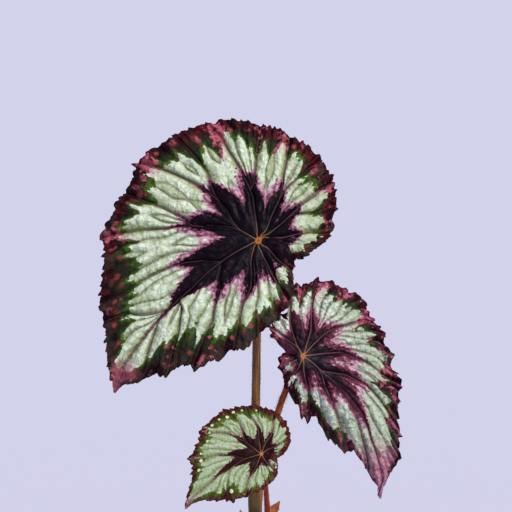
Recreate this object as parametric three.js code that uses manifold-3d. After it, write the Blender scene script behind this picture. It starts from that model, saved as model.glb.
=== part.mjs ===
// A rex begonia in a plain clay pot: three painted leaves on bristly stalks, a short upright
// stem with roots, papery stipules, potting soil and the pot. Millimetres, +Z up, origin at the
// centre of the pot's underside, +X to the right and -Y towards the front of the plant.

import * as THREE from 'three';
import { mergeVertices } from 'three/addons/utils/BufferGeometryUtils.js';
import Module from 'manifold-3d';

const wasm = await Module();
wasm.setup();

// ---- driving dimensions -------------------------------------------------------------------

const CLEARANCE = 0.3; // left between pieces that touch
const POT_HEIGHT = 112;
const POT_TOP_RADIUS = 65;
const POT_BASE_RADIUS = 42;
const POT_WALL = 6;
const POT_FLOOR = 9;
const COLLAR_HEIGHT = 22;
const COLLAR_STEP = 4.5; // how far the collar stands out from the wall below it
const DRAIN_RADIUS = 4.5;
const DRAIN_OFFSET = 22; // from the pot's axis, so the middle of the underside stays whole
const DRAIN_COUNT = 3;
const ROUND_SIDES = 48;

const SOIL_LEVEL = 98;
const SOIL_CRUMB = 1.1; // height of the lumps on the soil

const STEM_FOOT = 81;
const STEM_TOP = 138;
const STEM_RADIUS = 9;
const ROOT_COUNT = 7;
const ROOT_LENGTH = 46;
const ROOT_RADIUS = 1.9;

const BLADE_THICKNESS = 0.9;
const PAD_RADIUS = 3; // flat middle of a blade, where its stalk meets it
const PAD_THICKNESS = 1.4;
const RIB_DEPTH = 1.1; // how far the veins stand out below
const RIB_HALF_WIDTH = 1.6;
const GROOVE_DEPTH = 0.5; // how far the veins are sunk above
const PILLOW_HALF_WIDTH = 4; // the blade is puckered up between its veins
const RELIEF_RADIUS = 9; // from here out the relief has its full height
const REST_RADIUS = 10; // and from here out the blade has its full bow and fold
const BEND_SHARE = 0.35; // share of the way out at which a vein reaches its middle angle
const SINUS_GAP = 3; // degrees left open beside the pad, before the sides of the sinus overlap
const SINUS_OPEN_RADIUS = 4.5;
const SINUS_LAPPED_RADIUS = 8;
const LIFTED_GAPS = 3; // the sides of the sinus are lifted apart over so many gaps between rays

// Each blade lies in its own plane: x to the right, y up the plane and z out of its upper face,
// from the joint with the stalk. Angles are in degrees from x, reaches in millimetres from the joint.
//   edge      angle and reach of the margin, from one side of the sinus round to the other
//   points    angle, height and half width of the large teeth, where the main veins end
//   veins     angle at the margin, angle half way out, and the share of the way at which it forks off
//   between   angles of the plain rays that fill the wider gaps between the veins
//   rings     share of the way out, and how many rays there are to each gap between veins
const LEAF_LARGE = {
  joint: [1.5, -10, 318.9],
  lean: 32,
  turn: -6,
  axis: 222,
  bow: 6,
  droop: 9,
  fold: { left: 0.16, right: 0.05, width: 8 },
  pillow: 1.3,
  ruffle: 1.6,
  tooth: 1.7,
  overlap: 3.6,
  hook: { from: 100, to: 124, by: 0 },
  edge: [
    [-22, 27], [-6, 36.5], [8, 44.5], [23, 49.5], [43, 60.5], [65, 68.5], [90, 78.5], [115, 88],
    [131, 91], [146, 93], [165, 95.5], [182, 96], [202, 104], [212, 108.5], [220, 118.5], [226, 122],
    [229.5, 112], [234, 100.5], [240, 88.5], [250, 79], [258, 68], [269, 61], [289, 47], [306, 37.5],
    [322, 28], [343, 20.6], [358, 15.4], [373, 8.5],
  ],
  points: [
    [28, 2, 6], [146.5, 4.5, 7], [178.5, 5, 8], [202, 2.5, 7], [226, 3.5, 5], [245, 3.5, 6], [260, 3, 5],
  ],
  veins: [
    [15.5, 12, 0.1], [28, 38, 0.48], [42, 43, 0.1], [57, 67, 0.48], [78, 70, 0.1], [92, 98, 0.43],
    [115.5, 105, 0.1], [128.5, 131, 0.42], [146.5, 137, 0.15], [159, 164, 0.36], [178.5, 169, 0.15],
    [202, 198, 0.25], [226, 219.5, 0.05], [237.5, 226, 0.64], [245, 238, 0.3], [260, 262, 0.12],
    [296.5, 294, 0.1], [317, 319, 0.1],
  ],
  between: [-3, 103, 190, 214, 278, 335, 354],
  rings: [[0, 1], [0.1, 2], [0.22, 2], [0.36, 4], [0.56, 4], [0.76, 4], [0.92, 8], [1, 8]],
};

const LEAF_RIGHT = {
  joint: [29.4, 6, 241.7],
  lean: 30,
  turn: 10,
  axis: -52,
  bow: 6,
  droop: 14,
  fold: { left: 0.12, right: 0.95, width: 8 },
  pillow: 1.4,
  ruffle: 2.6,
  tooth: 2.6,
  overlap: 3.4,
  edge: [
    [156, 9], [166, 12], [178, 13], [200, 13.5], [220, 15.5], [235, 18.5], [252, 21], [263, 27],
    [272, 33], [280, 37.5], [287, 48], [293, 60], [297.6, 65], [298.6, 73], [299.6, 82], [300.6, 94],
    [306, 91], [311, 87], [316, 79], [325, 72], [335, 66.5], [345, 63], [356, 58], [367, 53.5], [385, 54.5],
    [400, 56], [412, 55], [425, 53], [440, 50], [451, 47], [456, 37.5], [467, 31], [488, 27.5],
    [498, 23.3], [510, 13.2], [519, 10.5], [528, 8.5],
  ],
  hook: { from: 80, to: 99, by: -1.8 },
  points: [[273, 3, 6], [300.6, 3.5, 3], [320.5, 4, 7], [343, 3, 6], [382, 2, 6]],
  veins: [
    [223, 240, 0.1], [273, 272, 0.1], [293, 298, 0.25], [298.6, 305, 0.4], [300.6, 312, 0.05],
    [320.5, 333, 0.38], [343, 357, 0.12], [382, 397, 0.12], [431, 430, 0.12], [451.5, 459, 0.12],
    [492.5, 488, 0.15],
  ],
  between: [178, 200, 248, 309, 331, 355, 368, 398, 414, 462, 477, 510],
  rings: [[0, 1], [0.12, 2], [0.26, 2], [0.42, 4], [0.6, 4], [0.78, 4], [0.92, 4], [1, 4]],
};

const LEAF_SMALL = {
  joint: [3.4, -36, 189.8],
  lean: 36,
  turn: -6,
  axis: 213,
  bow: 10,
  droop: 12,
  fold: { left: 0.16, right: 0.05, width: 5 },
  pillow: 0.8,
  ruffle: 0.8,
  tooth: 1.2,
  overlap: 2.8,
  hook: { from: 40, to: 57, by: 0 },
  edge: [
    [-10, 9], [5, 14], [20, 18], [35, 21], [53, 24.5], [72, 29], [90, 31], [110, 35], [131, 38],
    [150, 41.5], [170, 42], [190, 44], [203, 47], [211, 53], [215.5, 55.5], [218, 48], [225, 41.5],
    [238, 33.5], [251, 27.5], [268, 23.5], [285, 19], [308, 15], [334, 11.5], [350, 9.5], [363, 8.5],
  ],
  points: [[216.5, 2.5, 3], [184.5, 2.5, 4], [158.5, 2.5, 4], [131.5, 1.5, 3], [240, 1.5, 3]],
  veins: [
    [35, 31, 0.15], [80.5, 71, 0.15], [110.5, 103, 0.15], [131.5, 128, 0.42], [158.5, 148, 0.15],
    [184.5, 183, 0.2], [216.5, 208.5, 0.1], [240, 222, 0.5], [252, 247, 0.15], [317, 305, 0.15],
  ],
  between: [12, 57, 96, 145, 172, 201, 227, 275, 296, 340],
  rings: [[0, 1], [0.15, 2], [0.35, 2], [0.55, 4], [0.78, 4], [0.92, 4], [1, 4]],
};

// Stalk routes from the stem's top to the blade's joint, with radii spread evenly along them.
const STALK_LARGE = {
  route: [
    [-0.7, 0.6, 130], [-0.6, 0.4, 141], [-0.9, 0.4, 152], [-0.5, 2, 185], [0.2, 6, 232], [0.7, 8, 272],
    [1.3, 2, 303], [1.5, -10, 318.9],
  ],
  radii: [4.6, 4.5, 3.2, 2.75, 2.65, 2.6, 2.4, 2.3],
  steps: 26,
};
const STALK_RIGHT = {
  route: [
    [1.6, 7.4, 126], [1.9, 9.4, 146], [4.6, 12, 169.3], [9, 13.5, 186], [14.8, 14.5, 206],
    [20, 16.4, 220], [24.8, 17.6, 231.5], [28.3, 12.5, 239], [29.4, 6, 241.7],
  ],
  radii: [2.6, 2.2, 2, 1.95, 1.95, 1.95, 1.9, 1.85, 1.8],
  steps: 26,
};
const STALK_SMALL = {
  route: [
    [5.2, -4.8, 124], [7.6, -7.6, 136], [8.3, -9, 145], [7.2, -12, 154], [6, -17, 165],
    [5, -23.5, 177], [3.4, -36, 189.8],
  ],
  radii: [2.2, 1.7, 1.45, 1.35, 1.3, 1.3, 1.25],
  steps: 16,
};
const STALK_SIDES = 10;

// Papery stipules at the feet of the stalks: foot on the stem, tip in the air, width and curl.
const STIPULES = [
  { name: 'stipule_front', foot: [8.2, 0.6, 125], tip: [15.1, -3, 150.5], width: 7, curl: 2.2 },
  { name: 'stipule_left', foot: [-7.6, -2.4, 122], tip: [-15, -6, 141], width: 7, curl: 2 },
  { name: 'stipule_back', foot: [-4.6, 6.6, 120], tip: [-10, 15, 139], width: 6.5, curl: 2 },
];
const STIPULE_THICKNESS = 0.8;

// ---- small helpers ------------------------------------------------------------------------

const radians = THREE.MathUtils.degToRad;
const smooth = (low, high, x) => THREE.MathUtils.smoothstep(x, low, high);
const mix = THREE.MathUtils.lerp;

function weld(geometry) {
  const bare = geometry.clone();
  bare.deleteAttribute('normal');
  bare.deleteAttribute('uv');
  return mergeVertices(bare, 1e-4);
}

function toSolid(geometry) {
  const welded = weld(geometry);
  const vertProperties = Float32Array.from(welded.attributes.position.array);
  const triVerts = Uint32Array.from(welded.index.array);
  return new wasm.Manifold(new wasm.Mesh({ numProp: 3, vertProperties, triVerts }));
}

function toGeometry(solid) {
  const mesh = solid.getMesh();
  const geometry = new THREE.BufferGeometry();
  geometry.setAttribute('position', new THREE.BufferAttribute(Float32Array.from(mesh.vertProperties), 3));
  geometry.setIndex(Array.from(mesh.triVerts));
  return geometry;
}

function piece(name, geometry, look) {
  const faceted = geometry.index ? geometry.toNonIndexed() : geometry;
  faceted.computeVertexNormals();
  const mesh = new THREE.Mesh(faceted, new THREE.MeshStandardMaterial({ metalness: 0, ...look }));
  mesh.name = name;
  return mesh;
}

// A straight unit cylinder bent along a route, its radius following the list of radii.
// grow widens it and lengthens its foot, which makes the cutter for the hole it stands in.
function stalkGeometry({ route, radii, steps }, sides, grow = 0) {
  const curve = new THREE.CatmullRomCurve3(route.map((point) => new THREE.Vector3(...point)));
  const frames = curve.computeFrenetFrames(steps, false);
  const geometry = weld(new THREE.CylinderGeometry(1, 1, 1, sides, steps));
  const position = geometry.attributes.position;
  for (let i = 0; i < position.count; i++) {
    const share = position.getY(i) + 0.5;
    const step = Math.round(share * steps);
    const along = share * (radii.length - 1);
    const before = Math.min(Math.floor(along), radii.length - 2);
    const radius = mix(radii[before], radii[before + 1], along - before) + grow;
    const place = curve.getPointAt(share);
    place.addScaledVector(frames.normals[step], position.getX(i) * radius);
    place.addScaledVector(frames.binormals[step], -position.getZ(i) * radius);
    if (step === 0) {
      place.addScaledVector(frames.tangents[0], -grow);
    }
    position.setXYZ(i, place.x, place.y, place.z);
  }
  return geometry;
}

// ---- pot ----------------------------------------------------------------------------------

// Radius of the pot's inner wall at a height, which the soil follows with its clearance.
function potInside(z) {
  const collarFoot = POT_HEIGHT - COLLAR_HEIGHT;
  const floorRadius = POT_BASE_RADIUS - POT_WALL + 0.6;
  const shoulderRadius = POT_TOP_RADIUS - COLLAR_STEP - POT_WALL - 1.5;
  const mouthRadius = POT_TOP_RADIUS - POT_WALL - 0.5;
  if (z < collarFoot) {
    return mix(floorRadius, shoulderRadius, (z - POT_FLOOR) / (collarFoot - POT_FLOOR));
  }
  return mix(shoulderRadius, mouthRadius, (z - collarFoot) / COLLAR_HEIGHT);
}

function potSolid() {
  const collarFoot = POT_HEIGHT - COLLAR_HEIGHT;
  const collarRadius = POT_TOP_RADIUS - 2;
  const wallRadius = collarRadius - COLLAR_STEP;
  const profile = [
    [0, 0], [POT_BASE_RADIUS - 1.5, 0], [POT_BASE_RADIUS, 1.5], [wallRadius, collarFoot - 1.5],
    [collarRadius - 1.2, collarFoot], [collarRadius, collarFoot + 1.5],
    [POT_TOP_RADIUS, POT_HEIGHT - 3], [POT_TOP_RADIUS - 1.2, POT_HEIGHT - 0.6],
    [POT_TOP_RADIUS - 3, POT_HEIGHT], [potInside(POT_HEIGHT) + 1, POT_HEIGHT - 0.6],
    [potInside(POT_HEIGHT - 3), POT_HEIGHT - 3],
    [potInside(collarFoot), collarFoot], [potInside(POT_FLOOR + 4), POT_FLOOR + 4],
    [potInside(POT_FLOOR) - 4, POT_FLOOR], [0, POT_FLOOR],
  ];
  const points = profile.map(([radius, z]) => new THREE.Vector2(radius, z));
  let solid = toSolid(new THREE.LatheGeometry(points, ROUND_SIDES).rotateX(Math.PI / 2));
  for (let i = 0; i < DRAIN_COUNT; i++) {
    const angle = (i + 0.25) * 2 * Math.PI / DRAIN_COUNT;
    const drain = new THREE.CylinderGeometry(DRAIN_RADIUS, DRAIN_RADIUS, 4 * POT_FLOOR, 20);
    drain.rotateX(Math.PI / 2).translate(DRAIN_OFFSET * Math.cos(angle), DRAIN_OFFSET * Math.sin(angle), 0);
    solid = solid.subtract(toSolid(drain));
  }
  return solid;
}

// ---- stem with its roots, and the soil round them ---------------------------------------------

const STEM_SHAPE = [[0, 0], [0.55, 0.02], [0.8, 0.12], [0.98, 0.3], [1.08, 0.36], [0.98, 0.42], [1.02, 0.56],
  [1.1, 0.62], [1, 0.68], [1.02, 0.8], [0.9, 0.9], [0.66, 0.97], [0.4, 1], [0, 1]];

// The stem as it grew, with its rings of old leaf scars, and the roots from its foot.
function stemSolid(grow = 0) {
  const tall = STEM_TOP - STEM_FOOT;
  const points = STEM_SHAPE.map(([radius, share]) => {
    const out = radius === 0 ? 0 : grow;
    const end = share === 0 ? -grow : (share === 1 ? grow : 0);
    return new THREE.Vector2(radius * STEM_RADIUS + out, STEM_FOOT + share * tall + end);
  });
  let solid = toSolid(new THREE.LatheGeometry(points, 16).rotateX(Math.PI / 2));
  for (let i = 0; i < ROOT_COUNT; i++) {
    const turn = (i * 2 * Math.PI) / ROOT_COUNT + 0.4;
    const dip = radians(38 + 14 * (i % 3));
    const length = ROOT_LENGTH * (1 - 0.12 * (i % 4));
    const way = new THREE.Vector3(Math.cos(turn), Math.sin(turn), -Math.tan(dip)).normalize();
    const root = new THREE.CylinderGeometry(0.5 + grow, ROOT_RADIUS + grow, length + grow, 6, 1);
    root.translate(0, (length + grow) / 2, 0);
    root.applyQuaternion(new THREE.Quaternion().setFromUnitVectors(new THREE.Vector3(0, 1, 0), way));
    root.translate(0, 0, STEM_FOOT + 7 + 2 * (i % 3));
    solid = solid.add(toSolid(root));
  }
  return solid;
}

// The soil fills the pot up to its level; its top is lumpy, and it has a hole for the stem.
function soilSolid() {
  const low = POT_FLOOR + 4;
  const collarFoot = POT_HEIGHT - COLLAR_HEIGHT;
  const gap = CLEARANCE + 0.1;
  const profile = [
    [0, POT_FLOOR + CLEARANCE], [potInside(POT_FLOOR) - 4 - gap, POT_FLOOR + CLEARANCE],
    [potInside(low) - gap - 0.1, low + CLEARANCE], [potInside(collarFoot) - gap, collarFoot],
    [potInside(SOIL_LEVEL - 2) - gap, SOIL_LEVEL - 2], [50, SOIL_LEVEL - 1],
    [40, SOIL_LEVEL], [28, SOIL_LEVEL], [16, SOIL_LEVEL], [0, SOIL_LEVEL],
  ];
  const points = profile.map(([radius, z]) => new THREE.Vector2(radius, z));
  const geometry = weld(new THREE.LatheGeometry(points, ROUND_SIDES).rotateX(Math.PI / 2));
  const position = geometry.attributes.position;
  for (let i = 0; i < position.count; i++) {
    const [x, y, z] = [position.getX(i), position.getY(i), position.getZ(i)];
    if (z > SOIL_LEVEL - 1.5) { // the top, in from its rounded rim
      const lumps = Math.sin(0.31 * x + 1.3) * Math.cos(0.27 * y) + 0.6 * Math.sin(0.55 * x - 0.47 * y);
      position.setZ(i, z + SOIL_CRUMB * lumps);
    }
  }
  return toSolid(geometry).subtract(stemSolid(CLEARANCE));
}

// ---- leaf blades --------------------------------------------------------------------------

// Smooth reach of the margin at an angle, with no overshoot between the listed points.
function edgeReach(edge, angle) {
  const last = edge.length - 1;
  const slope = (i) => (edge[i + 1][1] - edge[i][1]) / (edge[i + 1][0] - edge[i][0]);
  const tangent = (i) => {
    if (i === 0 || i === last) {
      return slope(Math.min(i, last - 1));
    }
    const [before, after] = [slope(i - 1), slope(i)];
    return before * after <= 0 ? 0 : (2 * before * after) / (before + after);
  };
  const after = Math.min(Math.max(edge.findIndex(([a]) => a > angle), 1), last);
  const i = angle >= edge[last][0] ? last - 1 : after - 1;
  const width = edge[i + 1][0] - edge[i][0];
  const u = THREE.MathUtils.clamp((angle - edge[i][0]) / width, 0, 1);
  return edge[i][1] * (2 * u ** 3 - 3 * u ** 2 + 1) + edge[i + 1][1] * (3 * u ** 2 - 2 * u ** 3)
    + tangent(i) * width * (u ** 3 - 2 * u ** 2 + u) + tangent(i + 1) * width * (u ** 3 - u ** 2);
}

function pointHeight(leaf, angle, reach) {
  let height = 0;
  for (const [at, tall, half] of leaf.points) {
    const off = Math.abs(radians(angle - at)) * reach;
    height = Math.max(height, tall * Math.max(0, 1 - off / half));
  }
  return height;
}

// The blade before its relief: bowed all over, drooping to the tip and folded along the midrib.
function bladeRest(leaf, x, y) {
  const axis = radians(leaf.axis);
  const along = x * Math.cos(axis) + y * Math.sin(axis);
  const across = y * Math.cos(axis) - x * Math.sin(axis);
  const slope = across > 0 ? leaf.fold.left : leaf.fold.right;
  return -leaf.bow * (x * x + y * y) / 1e4 - leaf.droop * (Math.max(0, along) / 100) ** 2
    - slope * (Math.hypot(across, leaf.fold.width) - leaf.fold.width);
}

// Rays of the blade: the two sides of the sinus, the veins and the plain rays between them.
function leafRays(leaf) {
  const [start, end] = [leaf.edge[0][0], leaf.edge[leaf.edge.length - 1][0]];
  const rays = [
    { tip: start, middle: start }, { tip: end, middle: end },
    ...leaf.veins.map(([tip, middle, fork]) => ({ tip, middle, fork })),
    ...leaf.between.map((tip) => ({ tip })),
  ].sort((a, b) => a.tip - b.tip);
  const known = rays.filter((ray) => ray.middle !== undefined);
  for (const ray of rays.filter((r) => r.middle === undefined)) {
    const next = known.findIndex((r) => r.tip > ray.tip);
    const [low, high] = [known[next - 1], known[next]];
    ray.middle = mix(low.middle, high.middle, (ray.tip - low.tip) / (high.tip - low.tip));
  }
  rays.forEach((ray, i) => {
    ray.first = mix(mix(start, end, i / (rays.length - 1)), ray.middle, 0.6);
  });
  return rays;
}

function rayAngle(ray, share) {
  const toMiddle = (ray.middle - ray.first) * smooth(0, BEND_SHARE, share);
  return ray.first + toMiddle + (ray.tip - ray.middle) * smooth(BEND_SHARE, 1, share);
}

// Distance along the blade to the nearest vein that has forked off by this share of the way out.
function veinDistance(rays, angle, share, radius) {
  let nearest = Infinity;
  for (const ray of rays) {
    if (ray.fork !== undefined && share > ray.fork - 0.05) {
      nearest = Math.min(nearest, Math.abs(radians(angle - rayAngle(ray, share))) * radius);
    }
  }
  return nearest;
}

// Distance from the joint at a share of the way out along a ray, with the large and small teeth.
function bladeRadius(leaf, tip, share, tooth) {
  if (share === 0) {
    return PAD_RADIUS;
  }
  const reach = edgeReach(leaf.edge, tip);
  const point = pointHeight(leaf, tip, reach) * smooth(0.85, 1, share);
  const small = tooth * Math.min(1, reach / 30);
  return mix(PAD_RADIUS, reach + point + small, share);
}

// The angles are squeezed beside the pad, so that the sides of the sinus meet there and overlap
// further out, and the leaf's tip is hooked to one side.
function bladeAngle(leaf, rays, angle, share, radius) {
  const [start, end] = [rays[0].tip, rays[rays.length - 1].tip];
  const centre = (start + end) / 2;
  const open = share === 0 ? 0 : SINUS_GAP;
  const lapped = share === 0 ? 0 : smooth(SINUS_OPEN_RADIUS, SINUS_LAPPED_RADIUS, radius);
  const squeeze = mix((360 - open) / (end - start), 1, lapped);
  return centre + (angle - centre) * squeeze + leaf.hook.by * smooth(leaf.hook.from, leaf.hook.to, radius);
}

// Place on the upper face and thickness there, given by gap (which ray, with its fraction) and
// share of the way out. The two sides of the sinus are lifted apart, the last one in front.
function bladePoint(leaf, rays, gap, share) {
  const count = rays.length - 1;
  const k = Math.min(Math.floor(gap), count - 1);
  const between = (value) => mix(value(rays[k]), value(rays[k + 1]), gap - k);
  const fine = leaf.rings[leaf.rings.length - 1][1];
  const pitch = (rays[k + 1].tip - rays[k].tip) / fine;
  const odd = share === 1 ? Math.round(gap * fine) % 2 : 0;
  const tip = between((ray) => ray.tip);
  const crowd = Math.min(1, radians(pitch) * edgeReach(leaf.edge, tip) / 2);
  const radius = bladeRadius(leaf, tip, share, odd * leaf.tooth * crowd);
  const angle = bladeAngle(leaf, rays, between((ray) => rayAngle(ray, share)), share, radius);
  const x = radius * Math.cos(radians(angle + 0.3 * odd * pitch));
  const y = radius * Math.sin(radians(angle + 0.3 * odd * pitch));

  const distance = veinDistance(rays, angle, share, radius);
  const vein = Math.exp(-((distance / RIB_HALF_WIDTH) ** 2)) * (1 - 0.7 * share);
  const pucker = 1 - Math.exp(-((distance / PILLOW_HALF_WIDTH) ** 2));
  const pillow = leaf.pillow * pucker * (1 - 0.6 * smooth(0.7, 1, share));
  const ruffle = leaf.ruffle * share ** 5 * Math.sin(Math.PI * gap) * Math.min(1, radius / 40);
  const away = smooth(PAD_RADIUS, RELIEF_RADIUS, radius);
  const calm = Math.min(smooth(0, LIFTED_GAPS, gap), smooth(0, LIFTED_GAPS, count - gap));
  const side = smooth(0, LIFTED_GAPS, gap) - smooth(0, LIFTED_GAPS, count - gap);
  const lift = leaf.overlap / 2 * side * smooth(PAD_RADIUS, SINUS_LAPPED_RADIUS, radius);
  const rest = bladeRest(leaf, x, y) * smooth(PAD_RADIUS, REST_RADIUS, radius);
  const z = rest + (pillow - GROOVE_DEPTH * vein + ruffle) * away * calm + lift;
  return { x, y, z, thick: mix(PAD_THICKNESS, BLADE_THICKNESS + RIB_DEPTH * vein, away) };
}

// Upper and lower faces are split alike; rings with more rays are stitched to those with fewer.
function bladeGeometry(leaf) {
  const rays = leafRays(leaf);
  const gaps = rays.length - 1;
  const places = [{ x: 0, y: 0, z: 0, thick: PAD_THICKNESS }];
  const rings = leaf.rings.map(([share, fine], ring) => {
    const around = ring === 0 ? gaps : gaps * fine + 1;
    const first = places.length;
    for (let i = 0; i < around; i++) {
      places.push(bladePoint(leaf, rays, i / fine, share));
    }
    return { fine, at: (i) => first + (ring === 0 ? i % gaps : i) };
  });
  const upper = [];
  for (let i = 0; i < gaps; i++) {
    upper.push([0, rings[0].at(i), rings[0].at(i + 1)]);
  }
  for (let r = 1; r < rings.length; r++) {
    const [inner, outer] = [rings[r - 1], rings[r]];
    const double = outer.fine / inner.fine === 2;
    for (let i = 0; i < gaps * inner.fine; i++) {
      if (double) {
        upper.push([inner.at(i), outer.at(2 * i), outer.at(2 * i + 1)]);
        upper.push([inner.at(i), outer.at(2 * i + 1), inner.at(i + 1)]);
        upper.push([inner.at(i + 1), outer.at(2 * i + 1), outer.at(2 * i + 2)]);
      } else {
        upper.push([inner.at(i), outer.at(i), outer.at(i + 1)]);
        upper.push([inner.at(i), outer.at(i + 1), inner.at(i + 1)]);
      }
    }
  }
  const outermost = rings[rings.length - 1];
  const border = [];
  for (let r = 0; r < rings.length - 1; r++) {
    border.push(rings[r].at(0));
  }
  for (let i = 0; i <= gaps * outermost.fine; i++) {
    border.push(outermost.at(i));
  }
  for (let r = rings.length - 2; r > 0; r--) {
    border.push(rings[r].at(gaps * rings[r].fine));
  }
  const below = places.length;
  const index = [];
  for (const [a, b, c] of upper) {
    index.push(a, b, c, below + a, below + c, below + b);
  }
  border.forEach((a, i) => {
    const b = border[(i + 1) % border.length];
    index.push(a, below + a, b, b, below + a, below + b);
  });
  const positions = [
    ...places.flatMap(({ x, y, z }) => [x, y, z]),
    ...places.flatMap(({ x, y, z, thick }) => [x, y, z - thick]),
  ];
  const geometry = new THREE.BufferGeometry();
  geometry.setAttribute('position', new THREE.Float32BufferAttribute(positions, 3));
  geometry.setIndex(index);
  return geometry;
}

function place(object, leaf) {
  object.position.set(...leaf.joint);
  object.rotation.set(Math.PI / 2 - radians(leaf.lean), 0, radians(leaf.turn), 'ZXY');
  object.updateMatrixWorld();
  return object;
}

// A stalk, cut off parallel to its blade just under the pad in the blade's middle.
function stalkSolid(stalk, leaf) {
  const block = new THREE.BoxGeometry(60, 60, 40);
  block.translate(0, 0, 20 - PAD_THICKNESS - CLEARANCE);
  const seat = place(new THREE.Mesh(block), leaf);
  return toSolid(stalkGeometry(stalk, STALK_SIDES)).subtract(toSolid(block.applyMatrix4(seat.matrixWorld)));
}

// ---- stipules -------------------------------------------------------------------------------

// A pointed scale with its foot in the stem, curled along its length; grow makes its slot's cutter.
function stipuleGeometry({ foot, tip, width, curl }, grow = 0) {
  const up = new THREE.Vector3(...tip).sub(new THREE.Vector3(...foot));
  const length = up.length();
  const outline = new THREE.Shape();
  outline.moveTo(-0.28 * width - grow, -grow);
  outline.lineTo(0.28 * width + grow, -grow);
  outline.quadraticCurveTo(0.75 * width, 0.4 * length, 0.05 * width, length);
  outline.lineTo(-0.05 * width, length);
  outline.quadraticCurveTo(-0.7 * width, 0.42 * length, -0.28 * width - grow, -grow);
  const thick = STIPULE_THICKNESS + 2 * grow;
  const options = { depth: thick, bevelEnabled: false, curveSegments: 8 };
  const geometry = weld(new THREE.ExtrudeGeometry(outline, options));
  const outwards = new THREE.Vector3(foot[0], foot[1], 0).normalize();
  const yAxis = up.clone().normalize();
  const xAxis = yAxis.clone().cross(outwards).normalize();
  const basis = new THREE.Matrix4().makeBasis(xAxis, yAxis, xAxis.clone().cross(yAxis)).setPosition(...foot);
  const position = geometry.attributes.position;
  for (let i = 0; i < position.count; i++) {
    const [x, y] = [position.getX(i), position.getY(i)];
    const bulge = curl * (1 - (2 * y / length - 1) ** 2) - 0.06 * x * x;
    position.setZ(i, position.getZ(i) - thick / 2 + Math.max(bulge, -1) * smooth(0, 0.3 * length, y));
  }
  return geometry.applyMatrix4(basis);
}

// ---- the plant in its pot -------------------------------------------------------------------

const CLAY = { color: 0xb5683f, roughness: 0.9 };
const EARTH = { color: 0x2e2119, roughness: 1 };
const BARK = { color: 0x6a4a2c, roughness: 0.8 };
const OLIVE_STALK = { color: 0x6b4a1c, roughness: 0.6 };
const RED_STALK = { color: 0x8a3a1c, roughness: 0.6 };
const PAPER = { color: 0xb5683c, roughness: 0.7 };
const SILVER_LEAF = { color: 0xa9b8a4, roughness: 0.5 };

let stem = stemSolid();
const stalks = [
  ['petiole_large', STALK_LARGE, LEAF_LARGE, OLIVE_STALK],
  ['petiole_right', STALK_RIGHT, LEAF_RIGHT, RED_STALK],
  ['petiole_small', STALK_SMALL, LEAF_SMALL, RED_STALK],
];
for (const [, stalk] of stalks) {
  stem = stem.subtract(toSolid(stalkGeometry(stalk, STALK_SIDES, CLEARANCE)));
}
for (const stipule of STIPULES) {
  stem = stem.subtract(toSolid(stipuleGeometry(stipule, CLEARANCE)));
}

const plant = new THREE.Group();
plant.add(piece('pot', toGeometry(potSolid()), CLAY));
plant.add(piece('soil', toGeometry(soilSolid()), EARTH));
plant.add(piece('rhizome', toGeometry(stem), BARK));
for (const [name, stalk, leaf, look] of stalks) {
  plant.add(piece(name, toGeometry(stalkSolid(stalk, leaf)), look));
}
for (const stipule of STIPULES) {
  plant.add(piece(stipule.name, stipuleGeometry(stipule), PAPER));
}
const leaves = [['leaf_large', LEAF_LARGE], ['leaf_right', LEAF_RIGHT], ['leaf_small', LEAF_SMALL]];
for (const [name, leaf] of leaves) {
  plant.add(place(piece(name, bladeGeometry(leaf), SILVER_LEAF), leaf));
}

export default plant;
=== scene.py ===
import math

import bmesh
import bpy
import numpy as np
from mathutils import Matrix, Vector, noise


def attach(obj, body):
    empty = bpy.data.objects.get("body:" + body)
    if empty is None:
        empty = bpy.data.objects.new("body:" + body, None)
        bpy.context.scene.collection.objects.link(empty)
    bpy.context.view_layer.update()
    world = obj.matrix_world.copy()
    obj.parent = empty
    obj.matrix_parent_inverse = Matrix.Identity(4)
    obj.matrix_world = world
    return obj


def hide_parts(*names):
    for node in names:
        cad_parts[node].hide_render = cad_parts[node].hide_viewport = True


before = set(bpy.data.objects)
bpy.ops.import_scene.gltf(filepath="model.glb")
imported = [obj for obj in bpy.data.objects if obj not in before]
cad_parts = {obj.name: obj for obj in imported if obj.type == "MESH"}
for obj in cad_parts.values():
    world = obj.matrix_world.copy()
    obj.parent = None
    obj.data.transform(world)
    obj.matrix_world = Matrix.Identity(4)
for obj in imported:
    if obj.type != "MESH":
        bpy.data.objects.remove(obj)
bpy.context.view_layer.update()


# ---- floor, studio light and camera --------------------------------------------------------
# A wide lavender sheet of paper under an even sky, one broad lamp high on the right as in the
# photo, and a long lens that looks down on the leaves by twelve degrees.

MM = 0.001
FLOOR_HALF_WIDTH = 60.0
FLOOR_GAP = 0.2 * MM
FLOOR_COLOUR = (0.553, 0.56, 0.672)
SKY_COLOUR = (0.42, 0.42, 0.56)
LAMP_COLOUR = (1.0, 0.965, 0.89)
LAMP_STRENGTH = 3.2
LAMP_FROM = (0.62, -0.62, 0.98)
LAMP_SOFTNESS = math.radians(13)
CAMERA_TARGET = (0, 0, 0.307)
CAMERA_DISTANCE = 2.0
CAMERA_TILT = math.radians(12)
LENS = 226.8
VIEW_END = 200


def keep(mesh_source, name):
    """The finished bmesh as an object of that name at the origin, smooth all over."""
    mesh = bpy.data.meshes.new(name)
    mesh_source.to_mesh(mesh)
    mesh_source.free()
    mesh.shade_smooth()
    made = bpy.data.objects.new(name, mesh)
    bpy.context.scene.collection.objects.link(made)
    return made


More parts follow.
